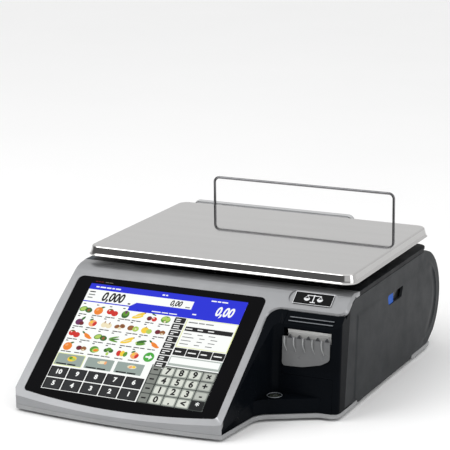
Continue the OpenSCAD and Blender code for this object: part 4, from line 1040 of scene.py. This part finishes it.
def flap_ribs():
    """Ribs that curve down the flap, each narrower towards its foot; their light grey is painted highlight
    on the flap's smoked plastic.
    """
    steps, length, y = 10, 19.5, FRONT_Y - 2.0
    bm = bmesh.new()
    for i in range(RIBS):
        rings = []
        for k in range(steps + 1):
            t = k / steps
            reach, half = 2.6 * math.sin(math.pi * min(t * 1.15, 1)) + 0.5, 0.95 - 0.55 * t
            x, z = FLAP_LEFT + 3.2 + i * RIB_PITCH + 3.4 * t * t, FLAP_TOP - 0.3 - length * t
            rings.append([(x - half, y, z), (x + half, y, z),
                          (x + half * 0.6, y - 0.1 - reach, z), (x - half * 0.6, y - 0.1 - reach, z)])
        loft(bm, rings)
    return finished("flap_ribs", bm, RIB_HIGHLIGHT, "cassette", matrix=LEANING, angle=40)


def flap_teeth():
    """Pointed teeth along the flap's upper edge, in dark metal that also stands in for the teeth's shadow on
    the paper.
    """
    foot, tip, height = 3.4, 0.3, 3.0
    bm = bmesh.new()
    for i in range(RIBS):
        x = FLAP_LEFT + 11 + i * RIB_PITCH
        loft(bm, [[(x - foot, y, FLAP_TOP - 1.4), (x + foot, y, FLAP_TOP - 1.4),
                   (x + tip, y, FLAP_TOP + height), (x - tip, y, FLAP_TOP + height)]
                  for y in (FRONT_Y - 2.6, FRONT_Y - 0.6)])
    # Dark metal: partly the teeth themselves, partly painted shadow of them on the paper.
    return finished("flap_teeth", bm, DARK_METAL, "cassette", matrix=LEANING, angle=40)


def turned(bm, x, y, section, n):
    """A ring of n steps round a vertical axis, from a section of (radius, height)."""
    turns = [math.tau * i / n for i in range(n)]
    rings = [[(x + r * math.cos(a), y + r * math.sin(a), h) for r, h in section] for a in turns]
    loft(bm, rings, close=True)


def level_ring():
    """Rim of the bubble level, and the circle that its bubble is read against."""
    x, y, z = 128.8, -166.0, 32.4
    bm = bmesh.new()
    turned(bm, x, y, ((9.4, z - 0.3), (10.8, z - 0.3), (10.6, z + 0.5), (10.1, z + 0.8), (9.6, z + 0.5)), 40)
    turned(bm, x + 0.6, y + 0.8, ((2.1, z - 0.5), (2.6, z - 0.5), (2.6, z - 0.25), (2.1, z - 0.25)), 24)
    return finished("level_ring", bm, TRIM_AND_HIGHLIGHT_GREY, "chassis", angle=50)


# ---- all CAD nodes
# Every CAD node's material and the width of its rounded edges
FINISHES = (
    (BASE, 0.8, "base_tray"),
    (SLATE_WITH_SHADE, 1.0, "upper_housing"),
    (SILVER, 0.5, "front_bezel"),
    (SCREEN_SILVER, 2.4, "display_bezel"),
    (GLASS, 0.3, "touch_glass"),
    (SCREEN_GLASS, 0.3, "display_glass"),
    (GLOSS, 0.8, "printer_bay"),
    (GLOSS, 0.7, "cassette_cover"),
    (GLOSS, 0.3, "level_vial"),
    (LIQUID, 0.3, "level_lens"),
    (PANEL, 0.8, "side_panel"),
    (LATCH_BLUE, 0.5, "latch_button"),
    (SMOKED, 0.3, "label_flap"),
    (PAPER, 0, "label_web"),
    (ROLL, 0.3, "label_roll"),
    (CARD, 0.3, "roll_core"),
    (PLATE, 0.1, "rating_plate"),
    (STEEL, 0, "platter"),
    (WIRE, 0, "guard_wire"),
    (WIRE, 0.4, "slide_rods"),
    (SATIN, 1.0, "display_case"),
    (SATIN, 0.8, "drum_housing display_bracket"),
    (SATIN, 0.5, "rear_panel roll_hub"),
    (BADGE_BLACK, 0.3, "power_switch"),
    (BADGE_BLACK, 0.2, "front_badge drum_badge"),
    (BOARD, 0, "main_board"),
    (BRASS, 0.3, "overload_stops"),
    (BRASS, 0, "motor_pinion"),
    (IVORY, 0.5, "rewind_spool"),
    (IVORY, 0.4, "slide_bushes"),
    (IVORY, 0, "platen_gear idler_gear"),
    (DARK_METAL, 0.4, "drive_motor"),
    (DARK_METAL, 0.3, "lcd_module print_head"),
    (DARK_METAL, 0.2, "load_cell_bolts housing_screws display_lcd"),
    (ZINC, 0.5, "load_cell_pedestal load_cell spider_post platter_spider"),
    (ZINC, 0.3, "port_sockets cassette_frame head_lever"),
    (ZINC, 0, "lcd_bracket chassis_plate heatsink power_supply"),
    (RUBBER, 0.5, "platter_pads foot_front_left foot_front_right foot_rear_left foot_rear_right"),
    (RUBBER, 0.4, "power_inlet display_caps"),
    (RUBBER, 0.2, "platen_roller"),
)


# ---- studio
def pale_floor():
    """Wide pale floor under the feet."""
    reach = 14.0
    me = bpy.data.meshes.new("studio_floor")
    bm = bmesh.new()
    bm.faces.new([bm.verts.new((x, y, 0)) for x, y in box(-reach, -reach, reach, reach)])
    bm.to_mesh(me)
    bm.free()
    me.materials.append(FLOOR)
    floor = bpy.data.objects.new("studio_floor", me)
    bpy.context.scene.collection.objects.link(floor)


def soft_world():
    """Bright overhead, behind and low down on the right, darker in front on the left."""
    world = bpy.data.worlds.new("studio_world")
    world.use_nodes = True
    nodes, links = world.node_tree.nodes, world.node_tree.links
    where, parts = nodes.new("ShaderNodeTexCoord"), nodes.new("ShaderNodeSeparateXYZ")
    links.new(where.outputs["Generated"], parts.inputs[0])

    def ramp(axis, start, end, low, high):
        r = nodes.new("ShaderNodeMapRange")
        r.interpolation_type = "SMOOTHSTEP"
        for i, value in enumerate((start, end, low, high), 1):
            r.inputs[i].default_value = value
        links.new(parts.outputs[axis], r.inputs[0])
        return r.outputs[0]

    def joined(operation, a, b):
        m = nodes.new("ShaderNodeMath")
        m.operation = operation
        links.new(a, m.inputs[0])
        links.new(b, m.inputs[1])
        return m.outputs[0]

    low_right = joined("MULTIPLY", ramp("Z", 0.3, 0.42, 0.75, 0.1), ramp("X", -0.05, 0.3, 0.1, 1.0))
    overhead, behind = ramp("Z", 0.3, 0.85, 0.14, 1.15), ramp("Y", -0.3, 0.5, 0.14, 0.8)
    light = joined("MAXIMUM", joined("MAXIMUM", overhead, behind), low_right)
    nodes["Background"].inputs["Color"].default_value = (1, 1, 1, 1)
    links.new(light, nodes["Background"].inputs["Strength"])
    bpy.context.scene.world = world


def aimed(name, data, at, aim, roll=0.0):
    """An object that looks from one point at another, rolled by an angle in degrees."""
    o = bpy.data.objects.new(name, data)
    o.location = at
    o.rotation_mode = "QUATERNION"
    look = (Vector(aim) - Vector(at)).to_track_quat("-Z", "Y")
    o.rotation_quaternion = look @ Matrix.Rotation(math.radians(roll), 4, "Z").to_quaternion()
    bpy.context.scene.collection.objects.link(o)
    return o


def soft_light(name, at, size, power):
    """A rectangular light over the floor, aimed at the object's middle."""
    data = bpy.data.lights.new(name, "AREA")
    data.shape = "RECTANGLE"
    data.size, data.size_y = size
    data.energy = power
    aimed(name, data, at, (0, 0, 0.1))


def camera():
    """The camera, a long lens in front on the right."""
    data = bpy.data.cameras.new("camera")
    data.lens = 153.4
    data.sensor_width = 36.0
    data.clip_start, data.clip_end = 0.1, 60.0
    view = aimed("camera", data, (1.1404, -2.4027, 0.8885), (-0.0713, 0.0998, 0.188), -0.654)
    bpy.context.scene.camera = view
    bpy.context.scene.view_settings.view_transform = "Standard"


for material, width, nodes in FINISHES:
    for node in nodes.split():
        dress(node, material, width)
platter()
bezel()
display_frame()
side_panel()
seller_screen()
customer_screen()
front_badge_mark()
drum_badge_mark()
drum_badge_frame()
rating_label()
painted_highlight_bars()
flap_ribs()
flap_teeth()
level_ring()
pale_floor()
soft_world()
soft_light("key_light", (-1.3, -1.5, 2.0), (1.6, 1.6), 28)
soft_light("fill_light", (2.2, -0.4, 1.0), (1.0, 1.4), 9)
camera()
